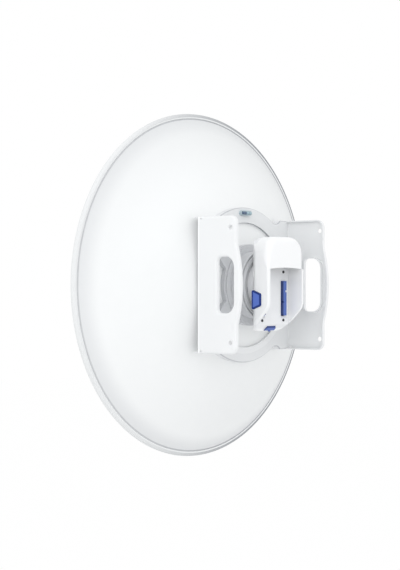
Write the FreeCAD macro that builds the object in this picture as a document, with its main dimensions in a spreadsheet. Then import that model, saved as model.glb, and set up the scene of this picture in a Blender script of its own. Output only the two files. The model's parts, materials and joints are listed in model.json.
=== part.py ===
import FreeCAD, Part
import math
import os
import re
import Sketcher
from FreeCAD import Placement, Rotation, Vector

# Parabolic radio dish with a stamped two-wing bracket and a rear bay that holds the radio.
# Frame: origin midway between the wing bolts, +Y along the boresight (out of the bowl),
# +Z up, +X across. Millimetres.

SIZES = {
    # reflector
    "dish_radius": (325, "outside of the rolled rim"),
    "focal_length": (190, "focal length of the paraboloid"),
    "dish_rise": (10.7, "how far the vertex of the back surface stands behind the bracket plate"),
    "skin": (2, "thickness of the reflector"),
    "bead_radius": (5.5, "radius of the rolled rim's section"),
    "dish_bore": (50, "radius of the hole at the vertex"),
    # bracket
    "bolt_setback": (76, "from the wing bolt axis forward to the bracket plate's back face"),
    "bolt_half_pitch": (101.7, "half the height between the two bolts of a wing"),
    "wing_hole": (4.5, "radius of a wing bolt hole"),
    "sheet": (2.5, "bracket sheet thickness"),
    "disc_radius": (143.5, "top and bottom lobes of the bracket plate"),
    "opening_radius": (115.7, "round opening of the bracket plate"),
    "skirt_depth": (15, "flange round the bracket plate, towards the reflector"),
    "notch_radius": (16, "concave blend between a lobe and a tab"),
    "notch_x": (90, "centre of that blend, from the middle plane"),
    "wing_half_span": (129, "outer face of a wing, from the middle plane"),
    "wing_half_height": (122.3, "half the height of a wing"),
    "wing_reach": (88, "plate's back face to the flat stretches of a wing's free edge"),
    "wing_bulge": (10, "how far the free edge bows out in the middle"),
    "bulge_half_chord": (70, "half the height of the bowed stretch"),
    "bulge_blend": (36, "blend between the bowed and flat stretches"),
    "lip_depth": (8, "inward lip round a wing and round its hand slot"),
    "wing_corner": (14, "corner radius of a wing"),
    "edge_bend": (4, "outside bend radius where a wing turns into its lip"),
    "fold_bend": (2.4, "outside bend radius where the plate turns into a wing or the skirt"),
    "slot_near": (43.5, "plate's back face to the near side of the hand slot"),
    "slot_far": (82, "plate's back face to the far side of the hand slot"),
    "slot_half_height": (50, "half the height of the hand slot"),
    "slot_near_corner": (9, "corner radius on the near side of the slot"),
    "slot_far_corner": (19, "corner radius on the far side of the slot"),
    "relief_hole": (1.6, "radius of the bend relief holes"),
    "relief_inset": (6, "relief hole to the fold and to the wing's top edge"),
    # bracket and hub fasteners
    "plate_bolt_x": (106, "bracket bolts, from the middle plane"),
    "plate_bolt_z": (88, "bracket bolts, above and below the middle"),
    "stud_radius": (3, "shank of a bracket or hub bolt"),
    "hole_room": (0.25, "radial room of a bolt in its hole"),
    "head_radius": (6.5, "round head or flanged nut of a bolt"),
    "head_height": (3.2, "height of a bolt head"),
    "nut_height": (5, "height of a nut"),
    "standoff_wall": (3, "wall of a standoff between the plate and the reflector"),
    "seat_gap": (0.3, "room between a formed edge and the curved reflector"),
    # hub
    "hub_radius": (75, "round body of the hub"),
    "hub_rise": (14, "hub's back face behind the plate's back face"),
    "hub_wall": (4, "wall of the hub casting"),
    "ear_reach": (83, "axis to the centre of an ear's round end"),
    "ear_half_width": (28, "half the width of an ear"),
    "hub_bolt_reach": (92, "axis to a hub bolt"),
    "ring_inner": (80, "inner radius of the clamp ring in the bowl"),
    "ring_outer": (104, "outer radius of the clamp ring in the bowl"),
    "ring_thickness": (3, "thickness of the clamp ring"),
    # neck between the hub and the bay
    "neck_radius": (61, "outside of the neck"),
    "neck_bead": (64, "outside of the neck's end bead"),
    "neck_end": (43.2, "neck's end face behind the plate's back face"),
    "neck_flange": (71, "radius of the neck's flange on the hub"),
    "flange_height": (3, "height of that flange"),
    "neck_wall": (3, "wall of the neck"),
    "ridge_outer": (59.5, "outer radius of the raised ring on the neck's end"),
    "ridge_inner": (53, "inner radius of that ring"),
    "ridge_height": (2.5, "height of that ring"),
    "groove_outer": (61.6, "outer radius of the groove round that ring"),
    "bead_bevel": (1, "bevel of the neck's end bead"),
    "lip_bore": (48, "radius of the neck's mouth, which the latches grip"),
    "spigot_room": (0.3, "room round the bay's spigot in the neck's mouth"),
    # feed
    "tube_radius": (24, "outside of the feed tube"),
    "tube_wall": (1.5, "wall of the feed tube"),
    "tube_flange": (38, "radius of the feed tube's flange"),
    "flange_plate": (3, "thickness of the feed tube's flange"),
    "tube_length": (168, "feed tube, from its flange to its open end"),
    "board_thickness": (1.6, "thickness of the feed board"),
    "probe_radius": (0.65, "radius of a feed probe"),
    "probe_length": (12.4, "length of a feed probe"),
    "probe_reach": (9, "axis to a feed probe"),
    "splash_radius": (34, "radius of the sub-reflector"),
    "splash_gap": (16, "open end of the tube to the sub-reflector's rim"),
    "splash_height": (9, "height of the sub-reflector's cone"),
    "splash_plate": (3, "thickness of the sub-reflector's rim"),
    "plug_depth": (20, "how far the dielectric plugs into the tube"),
    "radome_radius": (40, "outside of the radome"),
    "radome_wall": (2, "wall of the radome"),
    "radome_length": (64, "length of the radome"),
    "radome_collar": (12, "length of the radome's collar on the tube"),
    "radome_bevel": (4, "bevel of the radome's edges"),
    "collar_wall": (3.6, "wall of that collar"),
    "seal_section": (1.6, "section radius of the seals"),
    "fit_room": (0.05, "radial room of a sliding fit"),
    # bay
    "house_half_width": (52, "half the width of the bay housing"),
    "house_top": (87, "top of the hood above the boresight"),
    "house_bottom": (84, "bottom of the housing below the boresight"),
    "house_front": (46, "housing's front face behind the plate's back face"),
    "house_rear": (98, "housing's rear rim behind the plate's back face"),
    "house_corner": (31, "corner radius of the housing seen from behind"),
    "front_taper": (20, "45 degree taper of the housing's front, at the sides and the top"),
    "taper_round": (10, "rounding where that taper begins and ends"),
    "hood_round": (12, "rounding of the hood's rear edge"),
    "rim_round": (3, "rounding of the side walls' rear edge"),
    "side_wall": (6.7, "thickness of the side walls"),
    "hood_wall": (3, "thickness of the hood"),
    "bay_depth": (32, "depth of the bay"),
    "bay_floor": (3, "thickness of the bay's floor"),
    "hood_mouth": (29, "lower edge of the hood above the boresight"),
    "mouth_arch": (2.4, "rise of the hood's lower edge in the middle"),
    "slope_start": (40, "where the side walls begin to slope, below the boresight"),
    "slope_round": (25, "rounding where the side walls begin to slope"),
    "shell_wall": (4, "wall of the front shell and of the housing round its cavity"),
    "cover_radius": (33, "round cover in the front shell"),
    "cover_ledge": (3, "ledge under the round cover"),
    "cover_thickness": (2, "thickness of the round cover"),
    "spigot_length": (7, "spigot of the front shell in the neck's mouth"),
    "spigot_wall": (2.5, "wall of that spigot"),
    "boss_radius": (3.4, "screw bosses of the front shell"),
    "screw_x": (30.3, "bay screws, from the middle plane"),
    "screw_top": (24, "upper bay screws above the boresight"),
    "screw_bottom": (64.5, "lower bay screws below the boresight"),
    "screw_radius": (1.5, "shank of a bay screw"),
    "screw_head": (2.6, "head of a bay screw"),
    "screw_sink": (1.6, "height of a bay screw's head"),
    # radio lock
    "rail_width": (12.4, "width of a lock rail"),
    "rail_x": (30, "middle of a lock rail, from the middle plane"),
    "rail_top": (7.3, "top of a lock rail above the boresight"),
    "rail_bottom": (56, "bottom of a lock rail below the boresight"),
    "rail_height": (3.6, "how far a rail stands above the floor"),
    "rail_notch": (3.6, "width and depth of the notches in a rail"),
    "outer_notch": (11.6, "outer notch of a rail below the boresight"),
    "inner_notch": (31, "inner notch of a rail below the boresight"),
    "rail_recess": (1.2, "depth of the recess that a rail slides in"),
    "foot_inset": (3, "how much a rail's foot is narrower and shorter than its head"),
    "lock_travel": (4, "travel of the lock slider"),
    "slide_room": (0.4, "room round what slides"),
    "plate_thickness": (2, "thickness of the lock slider's plate"),
    "plate_half_width": (36, "half the width of the lock slider's plate"),
    "tab_half_width": (13.5, "half the width of the release tab"),
    "tab_top": (78, "top of the release tab below the boresight"),
    "tab_thickness": (2.4, "thickness of the release tab"),
    "tab_bottom": (83, "bottom of the release tab below the boresight"),
    "stem_half_width": (12, "half the width of the tab's stem"),
    # side latches
    "button_near": (61, "front edge of a side button behind the plate's back face"),
    "button_far": (82, "rear edge of a side button behind the plate's back face"),
    "button_top": (8, "top corner of a side button below the boresight"),
    "button_bottom": (45, "bottom corner of a side button below the boresight"),
    "button_taper": (8, "how much the rear edge is shorter at each end"),
    "button_proud": (2, "how far a side button stands out of the wall"),
    "button_thickness": (4, "thickness of a side button"),
    "button_corner": (3, "corner radius of a side button"),
    "pocket_skin": (1.2, "skin left behind a side button's pocket"),
    "pad_rim": (2, "rim of the pad round a side button, which carries it over the taper"),
    "latch_travel": (3, "travel of a side button"),
    "latch_web": (1.6, "thickness of a latch's web"),
    "latch_arm": (3, "thickness of a latch's arm"),
    "arm_x": (39.5, "inner face of a latch's arm, from the middle plane"),
    "arm_top": (4, "top of a latch's arm below the boresight"),
    "arm_bottom": (12, "bottom of a latch's arm below the boresight"),
    "nose_reach": (7, "how far a latch's nose stands out from its arm"),
    "spring_top": (22, "slider's end of the lock spring below the boresight"),
    "spring_bottom": (45, "fixed end of the lock spring below the boresight"),
    "spring_wire": (0.45, "wire radius of the springs"),
    "spring_turns": (8, "turns of the lock spring"),
    "spring_radius": (2.2, "mean radius of the springs"),
    # connectors
    "socket_x": (15, "radio sockets, from the middle plane"),
    "socket_radius": (4.5, "radius of a radio socket"),
    "socket_wall": (1, "wall of a radio socket"),
    "socket_pin": (0.7, "radius of a radio socket's pin"),
    "socket_length": (12, "length of a radio socket"),
    "block_height": (13, "height and depth of the connector block"),
    "block_half_width": (26, "half the width of the connector block"),
    "block_z": (47, "underside of the connector block above the boresight"),
    "lead_radius": (1.8, "radius of a coaxial lead"),
    "lead_x": (9, "coaxial leads, from the middle plane"),
    "lead_z": (54, "where the leads leave the connector block, above the boresight"),
    "lead_run": (7, "floor's front face to the middle of the leads' run"),
    "grommet_wall": (1.2, "wall of a lead's grommet"),
    # level
    "vial_radius": (3, "radius of the level's vial"),
    "vial_half_length": (13, "half the length of the level's vial"),
    "vial_x": (2.5, "level's middle, to the left of the middle plane"),
    "vial_z": (133, "level above the boresight"),
}

doc = FreeCAD.newDocument("radio_dish")
sheet = doc.addObject("Spreadsheet::Sheet", "Sizes")
for row, (word, (amount, note)) in enumerate(SIZES.items(), start=1):
    sheet.set(f"A{row}", word)
    sheet.set(f"B{row}", str(amount))
    sheet.set(f"C{row}", note)
    sheet.setAlias(f"B{row}", word)
doc.recompute()

NODES = []                # every finished sub-part, in the order it was made
WORD = re.compile(r"\b(" + "|".join(sorted(SIZES, key=len, reverse=True)) + r")\b")
TURN = {"x": Rotation(Vector(0, 1, 0), 90), "y": Rotation(Vector(1, 0, 0), -90), "z": Rotation()}
PLANE = {"XZ": Rotation(Vector(1, 0, 0), 90), "YZ": Rotation(Vector(1, 1, 1), 120), "XY": Rotation()}
AWAY = {"XZ": Vector(0, 1, 0), "YZ": Vector(1, 0, 0), "XY": Vector(0, 0, 1)}
NORMAL = {"XZ": "y", "YZ": "x", "XY": "z"}
DIAGONAL = math.sqrt(0.5)

# Levels along the boresight, as sheet expressions. "Behind" is towards -Y.
PLATE = "bolt_setback"
WING_END = "bolt_setback - wing_reach"
DISH_VERTEX = "bolt_setback - dish_rise"
HUB_BACK = "bolt_setback - hub_rise"
NECK_END = "bolt_setback - neck_end"
HOUSE_FRONT = "bolt_setback - house_front"
HOUSE_REAR = "bolt_setback - house_rear"
FLOOR = "bolt_setback - house_rear + bay_depth"
FLOOR_FRONT = f"({FLOOR}) + bay_floor"
SEAM = f"({FLOOR_FRONT}) + shell_wall"
TUBE_BACK = f"({HUB_BACK}) + hub_wall"
TUBE_END = f"({TUBE_BACK}) + tube_length"
BAY_HALF = "house_half_width - side_wall"
LATCH_START = f"{FLOOR_FRONT} + 2 * seat_gap"


def linked(text):
    """The expression with each size's name pointing at its cell."""
    return WORD.sub(r"Sizes.\1", str(text))


def number(text):
    return float(sheet.evalExpression(linked(text)))


def bind(thing, setting, text):
    thing.setExpression(setting, linked(text))


def place(thing, x="0", y="0", z="0"):
    for letter, text in zip("xyz", (x, y, z)):
        bind(thing, f"Placement.Base.{letter}", text)
    return thing


def block(x, y, z):
    """A box from three (low, high) spans."""
    box = doc.addObject("Part::Box", "Block")
    for side, (low, high) in zip(("Length", "Width", "Height"), (x, y, z)):
        bind(box, side, f"({high}) - ({low})")
    return place(box, x[0], y[0], z[0])


def rod(axis, radius, span, at=("0", "0")):
    """A cylinder along an axis; at holds the other two coordinates, in x, y, z order."""
    cylinder = doc.addObject("Part::Cylinder", "Rod")
    cylinder.Placement = Placement(Vector(), TURN[axis])
    bind(cylinder, "Radius", radius)
    bind(cylinder, "Height", f"({span[1]}) - ({span[0]})")
    spots = list(at)
    spots.insert("xyz".index(axis), span[0])
    return place(cylinder, *spots)


def fuse(*things):
    joined = doc.addObject("Part::MultiFuse", "Fuse")
    joined.Shapes = list(things)
    joined.Refine = True
    return joined


def common(*things):
    shared = doc.addObject("Part::MultiCommon", "Common")
    shared.Shapes = list(things)
    return shared


def cut(base, *tools):
    removed = doc.addObject("Part::Cut", "Cut")
    removed.Base = base
    removed.Tool = tools[0] if len(tools) == 1 else fuse(*tools)
    removed.Refine = True
    return removed


def mirrored(thing):
    """The same thing on the other side of the middle plane."""
    twin = doc.addObject("Part::Mirroring", "Mirror")
    twin.Source = thing
    twin.Normal = Vector(1, 0, 0)
    return twin


def grouped(*things):
    group = doc.addObject("Part::Compound", "Group")
    group.Links = list(things)
    return group


def rounded(base, radius, chosen):
    """Fillets the edges that the test picks."""
    doc.recompute()
    size = number(radius)
    picks = [(i, size, size) for i, edge in enumerate(base.Shape.Edges, start=1) if chosen(edge)]
    if not picks:
        raise RuntimeError(f"no edge to round on {base.Name}")
    fillet = doc.addObject("Part::Fillet", "Rounded")
    fillet.Base = base
    fillet.Edges = picks
    return fillet


def outline(plane, corners, level="0"):
    """A closed sketch of straight sides, each corner tied to the sheet."""
    sketch = doc.addObject("Sketcher::SketchObject", "Outline")
    sketch.Placement = Placement(Vector(), PLANE[plane])
    bind(sketch, f"Placement.Base.{NORMAL[plane]}", level)
    spots = [Vector(number(u), number(v), 0) for u, v in corners]
    for start, end in zip(spots, spots[1:] + spots[:1]):
        sketch.addGeometry(Part.LineSegment(start, end), False)
    for side in range(len(spots)):
        sketch.addConstraint(Sketcher.Constraint("Coincident", side, 2, (side + 1) % len(spots), 1))
    for side, (u, v) in enumerate(corners):
        for kind, text in (("DistanceX", u), ("DistanceY", v)):
            index = sketch.addConstraint(Sketcher.Constraint(kind, -1, 1, side, 1, number(text)))
            bind(sketch, f"Constraints[{index}]", text)
    return sketch


def prism(plane, corners, span):
    """A straight-sided outline extruded along the plane's normal."""
    solid = doc.addObject("Part::Extrusion", "Prism")
    solid.Base = outline(plane, corners, span[0])
    solid.DirMode = "Custom"
    solid.Dir = AWAY[plane]
    solid.Solid = True
    bind(solid, "LengthFwd", f"({span[1]}) - ({span[0]})")
    return solid


def turned(corners):
    """A body turned about the boresight from an outline of (radius, y) corners."""
    body = doc.addObject("PartDesign::Body", "Turned")
    sketch = body.newObject("Sketcher::SketchObject", "Profile")
    plane = [item for item in body.Origin.OriginFeatures if item.Role == "XY_Plane"][0]
    sketch.AttachmentSupport = [(plane, "")]
    sketch.MapMode = "FlatFace"
    spots = [Vector(number(r), number(y), 0) for r, y in corners]
    for start, end in zip(spots, spots[1:] + spots[:1]):
        sketch.addGeometry(Part.LineSegment(start, end), False)
    for side in range(len(spots)):
        sketch.addConstraint(Sketcher.Constraint("Coincident", side, 2, (side + 1) % len(spots), 1))
    for side, (r, y) in enumerate(corners):
        for kind, text in (("DistanceX", r), ("DistanceY", y)):
            index = sketch.addConstraint(Sketcher.Constraint(kind, -1, 1, side, 1, number(text)))
            bind(sketch, f"Constraints[{index}]", text)
    spin = body.newObject("PartDesign::Revolution", "Spin")
    spin.Profile = sketch
    spin.ReferenceAxis = (sketch, ["V_Axis"])
    spin.Angle = 360
    return body


def seal_ring(mean_radius, y):
    """An O-ring about the boresight."""
    ring = doc.addObject("Part::Torus", "Seal")
    ring.Placement = Placement(Vector(), TURN["y"])
    bind(ring, "Radius1", mean_radius)
    bind(ring, "Radius2", "seal_section")
    return place(ring, "0", y, "0")


def node(thing, name):
    thing.Label = name
    NODES.append(thing)
    return thing


def straight_edge(edge, axis):
    """Is this edge straight and parallel to the axis?"""
    if not isinstance(edge.Curve, Part.Line):
        return False
    return abs(abs(edge.Curve.Direction.dot(axis)) - 1) < 1e-6


def middle(edge):
    return edge.valueAt((edge.FirstParameter + edge.LastParameter) / 2)


# --- reflector -------------------------------------------------------------------------------

def bowl_edge(inner, outer, shift):
    """The paraboloid's generating curve, moved along the boresight: exact as a quadratic curve."""
    vertex = number(DISH_VERTEX) + shift
    four_f = 4 * number("focal_length")
    curve = Part.BezierCurve()
    curve.setPoles([Vector(inner, vertex + inner ** 2 / four_f, 0),
                    Vector((inner + outer) / 2, vertex + inner * outer / four_f, 0),
                    Vector(outer, vertex + outer ** 2 / four_f, 0)])
    return curve.toShape()


def bowl_slab(inner, outer, back, front):
    """A layer between two shifted copies of the reflector's back surface."""
    low, high = bowl_edge(inner, outer, back), bowl_edge(inner, outer, front)
    ends = [(low.valueAt(0), high.valueAt(0)), (low.valueAt(1), high.valueAt(1))]
    sides = [Part.LineSegment(a, b).toShape() for a, b in ends if (a - b).Length > 1e-6]
    wire = Part.Wire(Part.__sortEdges__([low, high] + sides))
    return Part.Face(wire).revolve(Vector(), Vector(0, 1, 0), 360)


def dish_level(radius):
    """The back surface's level at a radius, as an expression."""
    return f"{DISH_VERTEX} + ({radius}) * ({radius}) / (4 * focal_length)"


def bowl_tool(back, front):
    """A layer along the reflector, used to trim what seats on it."""
    tool = doc.addObject("Part::Feature", "BowlTool")
    tool.Shape = bowl_slab(0, number("dish_radius"), back, front)
    return tool


def fastener_spots():
    """Bracket bolts and hub bolts, as (x, z) expressions."""
    reach = f"hub_bolt_reach * {DIAGONAL}"
    plate = [(f"{a} * plate_bolt_x", f"{b} * plate_bolt_z") for a in (-1, 1) for b in (-1, 1)]
    hub = [(f"{a} * {reach}", f"{b} * {reach}") for a in (-1, 1) for b in (-1, 1)]
    return plate, hub


def bolt_holes(spots, span):
    return [rod("y", "stud_radius + hole_room", span, spot) for spot in spots]


def reflector():
    """Stamped bowl with a rolled rim."""
    skin = number("skin")
    bead = number("bead_radius")
    edge_radius = number("dish_radius") - 2 * bead + skin
    shell = doc.addObject("Part::Feature", "Bowl")
    shell.Shape = bowl_slab(number("dish_bore"), edge_radius, 0, skin)
    rim = doc.addObject("Part::Torus", "Rim")
    rim.Placement = Placement(Vector(), TURN["y"])
    bind(rim, "Radius1", "dish_radius - bead_radius")
    bind(rim, "Radius2", "bead_radius")
    place(rim, "0", f"{dish_level('dish_radius - 2 * bead_radius + skin')} + skin / 2", "0")
    plate, hub = fastener_spots()
    reach = (DISH_VERTEX, f"{PLATE} + skirt_depth + hub_radius")
    holes = bolt_holes(plate + hub, reach)
    return node(cut(fuse(shell, rim), *holes), "reflector_shell")


# --- bracket ---------------------------------------------------------------------------------

def plate_shape(inset, span, overrun="0"):
    """The bracket plate's outline, set in from its edge, extruded over a span of y."""
    radius = f"(disc_radius - {inset})"
    blend = f"(notch_radius + {inset})"
    centre_z = "sqrt((disc_radius + notch_radius) ^ 2 - notch_x ^ 2)"
    tangent_x = f"notch_x * {radius} / (disc_radius + notch_radius)"
    half_height = f"wing_half_height - {inset}"
    reach = f"wing_half_span + {overrun}"
    disc = rod("y", radius, span)
    tabs = []
    for low, high in ((tangent_x, reach), (f"-({reach})", f"-({tangent_x})")):
        tabs.append(block((low, high), span, (f"-({half_height})", half_height)))
    blends = []
    for a in (-1, 1):
        for b in (-1, 1):
            blends.append(rod("y", blend, span, (f"{a} * notch_x", f"{b} * {centre_z}")))
    within = block((f"-({reach})", reach), span, ("-disc_radius", "disc_radius"))
    return common(fuse(disc, cut(fuse(*tabs), *blends)), within)


def wing_shape(inset, x_span, root):
    """A wing's outline, set in from its free edges, extruded over a span of x."""
    end = f"{WING_END} + {inset}"
    half = f"wing_half_height - {inset}"
    sheet_box = block(x_span, (end, root), (f"-({half})", half))
    corner = rounded(sheet_box, f"wing_corner - {inset}",
                     lambda e: straight_edge(e, Vector(1, 0, 0)) and middle(e).y < number(root) - 1)
    bow = "(bulge_half_chord ^ 2 + wing_bulge ^ 2) / (2 * wing_bulge)"
    bow_centre = f"{WING_END} - wing_bulge + {bow}"
    bulge = common(rod("x", f"{bow} - {inset}", x_span, (bow_centre, "0")),
                   block(x_span, (f"{WING_END} - wing_bulge", f"{end} + sheet"),
                         ("-bulge_half_chord", "bulge_half_chord")))
    half_chord = number("bulge_half_chord")
    return rounded(fuse(corner, bulge), f"bulge_blend + {inset}",
                   lambda e: straight_edge(e, Vector(1, 0, 0))
                   and abs(abs(middle(e).z) - half_chord) < 2 and middle(e).y < number(end) + 1)


def slot_shape(outset, x_span):
    """The hand slot's outline, grown outwards, extruded over a span of x."""
    near, far = f"{PLATE} - slot_near + {outset}", f"{PLATE} - slot_far - {outset}"
    half = f"slot_half_height + {outset}"
    box = block(x_span, (far, near), (f"-({half})", half))
    centre = (number(near) + number(far)) / 2
    near_side = rounded(box, f"slot_near_corner + {outset}",
                        lambda e: straight_edge(e, Vector(1, 0, 0)) and middle(e).y > centre)
    return rounded(near_side, f"slot_far_corner + {outset}",
                   lambda e: straight_edge(e, Vector(1, 0, 0)) and middle(e).y < centre
                   and abs(middle(e).y - number(far)) < 1e-3)


def wing():
    """One wing: a shallow tray with its lip turned inwards, a lipped hand slot and two bolt holes."""
    depth = ("wing_half_span - lip_depth", "wing_half_span")
    inside = ("wing_half_span - 2 * lip_depth", "wing_half_span - sheet")
    tray = wing_shape("0", depth, f"{PLATE} + sheet")
    hollow = cut(wing_shape("sheet", inside, f"{PLATE} + skirt_depth"), slot_shape("sheet", inside))
    through = ("wing_half_span - 2 * lip_depth", "wing_half_span + sheet")
    holes = [rod("x", "wing_hole", through, ("0", f"{s} * bolt_half_pitch")) for s in (-1, 1)]
    relief_z = "wing_half_height - relief_inset / 1.5"
    relief = [rod("x", "relief_hole", through, (f"{PLATE} - relief_inset", f"{s} * ({relief_z})"))
              for s in (-1, 1)]
    pressed = cut(tray, hollow, slot_shape("0", through))
    face = number("wing_half_span")
    root = number(f"{PLATE} + sheet")

    def bend(edge):
        on_face = all(abs(v.X - face) < 1e-3 for v in edge.Vertexes) and abs(middle(edge).x - face) < 1e-3
        return on_face and middle(edge).y < root - 1e-3

    return cut(rounded(pressed, "edge_bend", bend), *holes, *relief)


def bracket():
    """Plate, skirt and two wings of one stamped sheet."""
    tray = plate_shape("0", (PLATE, f"{PLATE} + skirt_depth"))
    hollow_span = (f"{PLATE} + sheet", f"{PLATE} + 2 * skirt_depth")
    hollow = cut(plate_shape("sheet", hollow_span, "skirt_depth"),
                 rod("y", "opening_radius + sheet", hollow_span))
    opening = rod("y", "opening_radius", (f"{PLATE} - sheet", f"{PLATE} + 3 * skirt_depth"))
    beyond = [block(x, (f"{PLATE} + sheet", f"{PLATE} + 2 * skirt_depth"), ("-disc_radius", "disc_radius"))
              for x in (("wing_half_span - relief_inset", "wing_half_span + sheet"),
                        ("-wing_half_span - sheet", "-wing_half_span + relief_inset"))]
    base = cut(tray, hollow, opening, bowl_tool(-number("seat_gap"), number("dish_radius")), *beyond)
    right = wing()
    whole = fuse(base, right, mirrored(right))
    span = number("wing_half_span")
    back, front = number(PLATE), number(f"{PLATE} + sheet")
    lip = number("lip_depth")
    opening_edge = number("opening_radius + sheet")
    sheet_edge = number("sheet")

    def bent(edge):
        spot = middle(edge)
        if straight_edge(edge, Vector(0, 0, 1)):
            return abs(abs(spot.x) - span) < 1e-3 and abs(spot.y - front) < 1e-3
        across = abs(spot.y - back) < 1e-3 and all(abs(v.Y - back) < 1e-3 for v in edge.Vertexes)
        outside = math.hypot(spot.x, spot.z) > opening_edge and abs(spot.x) < span - lip
        return across and outside and edge.Length > 2 * sheet_edge

    return node(rounded(whole, "fold_bend", bent), "mounting_bracket")


# --- hub, clamp ring and their fasteners --------------------------------------------------------

def hub_shape(inset, span):
    """Round body with four ears on the diagonals, set in from its edge."""
    half = f"(ear_half_width - {inset}) * {DIAGONAL}"
    reach = f"ear_reach * {DIAGONAL}"
    parts = [rod("y", f"hub_radius - {inset}", span)]
    for a in (-1, 1):
        arm = [(f"{reach} - {half}", f"{a} * ({reach} + {half})"),
               (f"{reach} + {half}", f"{a} * ({reach} - {half})"),
               (f"-{reach} + {half}", f"-{a} * ({reach} + {half})"),
               (f"-{reach} - {half}", f"-{a} * ({reach} - {half})")]
        parts.append(prism("XZ", arm, span))
        for b in (-1, 1):
            parts.append(rod("y", f"ear_half_width - {inset}", span,
                             (f"{b} * {reach}", f"{a * b} * {reach}")))
    return fuse(*parts)


def hub():
    """Casting between the reflector and the neck, open towards the reflector."""
    deep = f"{PLATE} + hub_radius"
    shell = cut(hub_shape("0", (HUB_BACK, deep)),
                hub_shape("hub_wall", (f"{HUB_BACK} + hub_wall", f"{deep} + sheet")))
    boss_span = (HUB_BACK, deep)
    _, spots = fastener_spots()
    bosses = [rod("y", "head_radius + sheet", boss_span, spot) for spot in spots]
    holes = bolt_holes(spots, (f"{HUB_BACK} - sheet", f"{deep} + sheet"))
    seat = rod("y", "tube_radius + fit_room", (f"{HUB_BACK} - sheet", f"{deep} + sheet"))
    trim = bowl_tool(-number("seat_gap"), 2 * number("dish_radius"))
    return node(cut(fuse(shell, *bosses), trim, seat, *holes), "hub_casting")


def clamp_ring():
    """Ring in the bowl with a flat face for the nuts of the hub bolts."""
    inner, outer, skin = number("ring_inner"), number("ring_outer"), number("skin")
    low = bowl_edge(inner, outer, skin)
    level = number(pad_level())
    corners = [low.valueAt(1), Vector(outer, level, 0), Vector(inner, level, 0), low.valueAt(0)]
    sides = [Part.LineSegment(a, b).toShape() for a, b in zip(corners, corners[1:])]
    ring = doc.addObject("Part::Feature", "Ring")
    ring.Shape = Part.Face(Part.Wire([low] + sides)).revolve(Vector(), Vector(0, 1, 0), 360)
    _, spots = fastener_spots()
    return node(cut(ring, *bolt_holes(spots, (PLATE, f"{PLATE} + hub_radius"))), "clamp_ring")


def pad_level():
    """The clamp ring's front face."""
    return f"{dish_level('ring_outer')} + skin + ring_thickness"


def bolt(spot, head_level, shank_end):
    """Round-headed bolt put in from the back."""
    head = rod("y", "head_radius", (f"{head_level} - head_height", head_level), spot)
    socket = rod("y", "stud_radius", (f"{head_level} - head_height - sheet",
                                      f"{head_level} - head_height / 2"), spot)
    shank = rod("y", "stud_radius", (f"{head_level} - head_height / 4", shank_end), spot)
    return fuse(cut(head, socket), shank)


def nut(spot, level):
    """Flanged nut in the bowl."""
    flange = rod("y", "head_radius", (level, f"{level} + nut_height / 4"), spot)
    hexagon = doc.addObject("Part::Prism", "Hexagon")
    hexagon.Polygon = 6
    hexagon.Placement = Placement(Vector(), TURN["y"])
    bind(hexagon, "Circumradius", "head_radius * 0.9")
    bind(hexagon, "Height", "nut_height")
    place(hexagon, spot[0], level, spot[1])
    bore = rod("y", "stud_radius + fit_room", (f"{level} - sheet", f"{level} + 2 * nut_height"), spot)
    return cut(fuse(flange, hexagon), bore)


def fasteners():
    """Hub bolts and nuts, and the standoffs and bolts that hold the bracket."""
    plate, hub_spots = fastener_spots()
    pad = pad_level()
    node(grouped(*[bolt(s, HUB_BACK, f"{pad} + nut_height") for s in hub_spots]), "hub_bolts")
    node(grouped(*[nut(s, pad) for s in hub_spots]), "hub_nuts")
    reach = "sqrt(plate_bolt_x ^ 2 + plate_bolt_z ^ 2)"
    seat = f"{dish_level(f'({reach} + head_radius)')} + skin + seat_gap"
    start = f"{PLATE} + sheet"
    screws, standoffs = [], []
    for spot in plate:
        head = rod("y", "head_radius", (seat, f"{seat} + head_height"), spot)
        recess = rod("y", "stud_radius", (f"{seat} + head_height / 2", f"{seat} + 2 * head_height"), spot)
        shank = rod("y", "stud_radius", (f"{start} + standoff_wall / 3", f"{seat} + head_height / 4"), spot)
        screws.append(fuse(cut(head, recess), shank))
        outside = rod("y", "stud_radius + standoff_wall", (start, seat), spot)
        bore = rod("y", "stud_radius + fit_room", (f"{start} + standoff_wall / 3", f"{seat} + skin"), spot)
        standoffs.append(cut(outside, bore, bowl_tool(-number("seat_gap"), number("dish_radius"))))
    node(grouped(*screws), "bracket_bolts")
    node(grouped(*standoffs), "bracket_standoffs")


# --- neck and feed ------------------------------------------------------------------------------

def neck():
    """Round neck on the hub's back, with a beaded end and an undercut mouth."""
    flange_back = f"{HUB_BACK} - flange_height"
    bead_front = f"{NECK_END} + 2 * flange_height"
    lip_front = f"{NECK_END} + neck_wall"
    groove = f"{NECK_END} + ridge_height"
    inner = "neck_radius - neck_wall"
    profile = [("lip_bore", NECK_END), ("ridge_inner", NECK_END),
               ("ridge_inner", f"{NECK_END} - ridge_height"),
               ("ridge_outer", f"{NECK_END} - ridge_height"),
               ("ridge_outer", groove), ("groove_outer", groove),
               ("groove_outer", NECK_END), ("neck_bead - bead_bevel", NECK_END),
               ("neck_bead", f"{NECK_END} + bead_bevel"), ("neck_bead", f"{bead_front} - neck_wall"),
               ("neck_radius", bead_front), ("neck_radius", flange_back),
               ("neck_flange", flange_back), ("neck_flange", HUB_BACK),
               (inner, HUB_BACK), (inner, f"{lip_front} + ridge_height"),
               (f"{inner} - ridge_height", lip_front), ("lip_bore", lip_front)]
    return node(turned(profile), "neck")


def flange_screws(reach, low, high, name):
    """Four screw heads on the diagonals of a flange."""
    screws = []
    for a in (-1, 1):
        for b in (-1, 1):
            spot = (f"{a} * {reach} * {DIAGONAL}", f"{b} * {reach} * {DIAGONAL}")
            screws.append(rod("y", "screw_head", (low, high), spot))
    return node(grouped(*screws), name)


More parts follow.
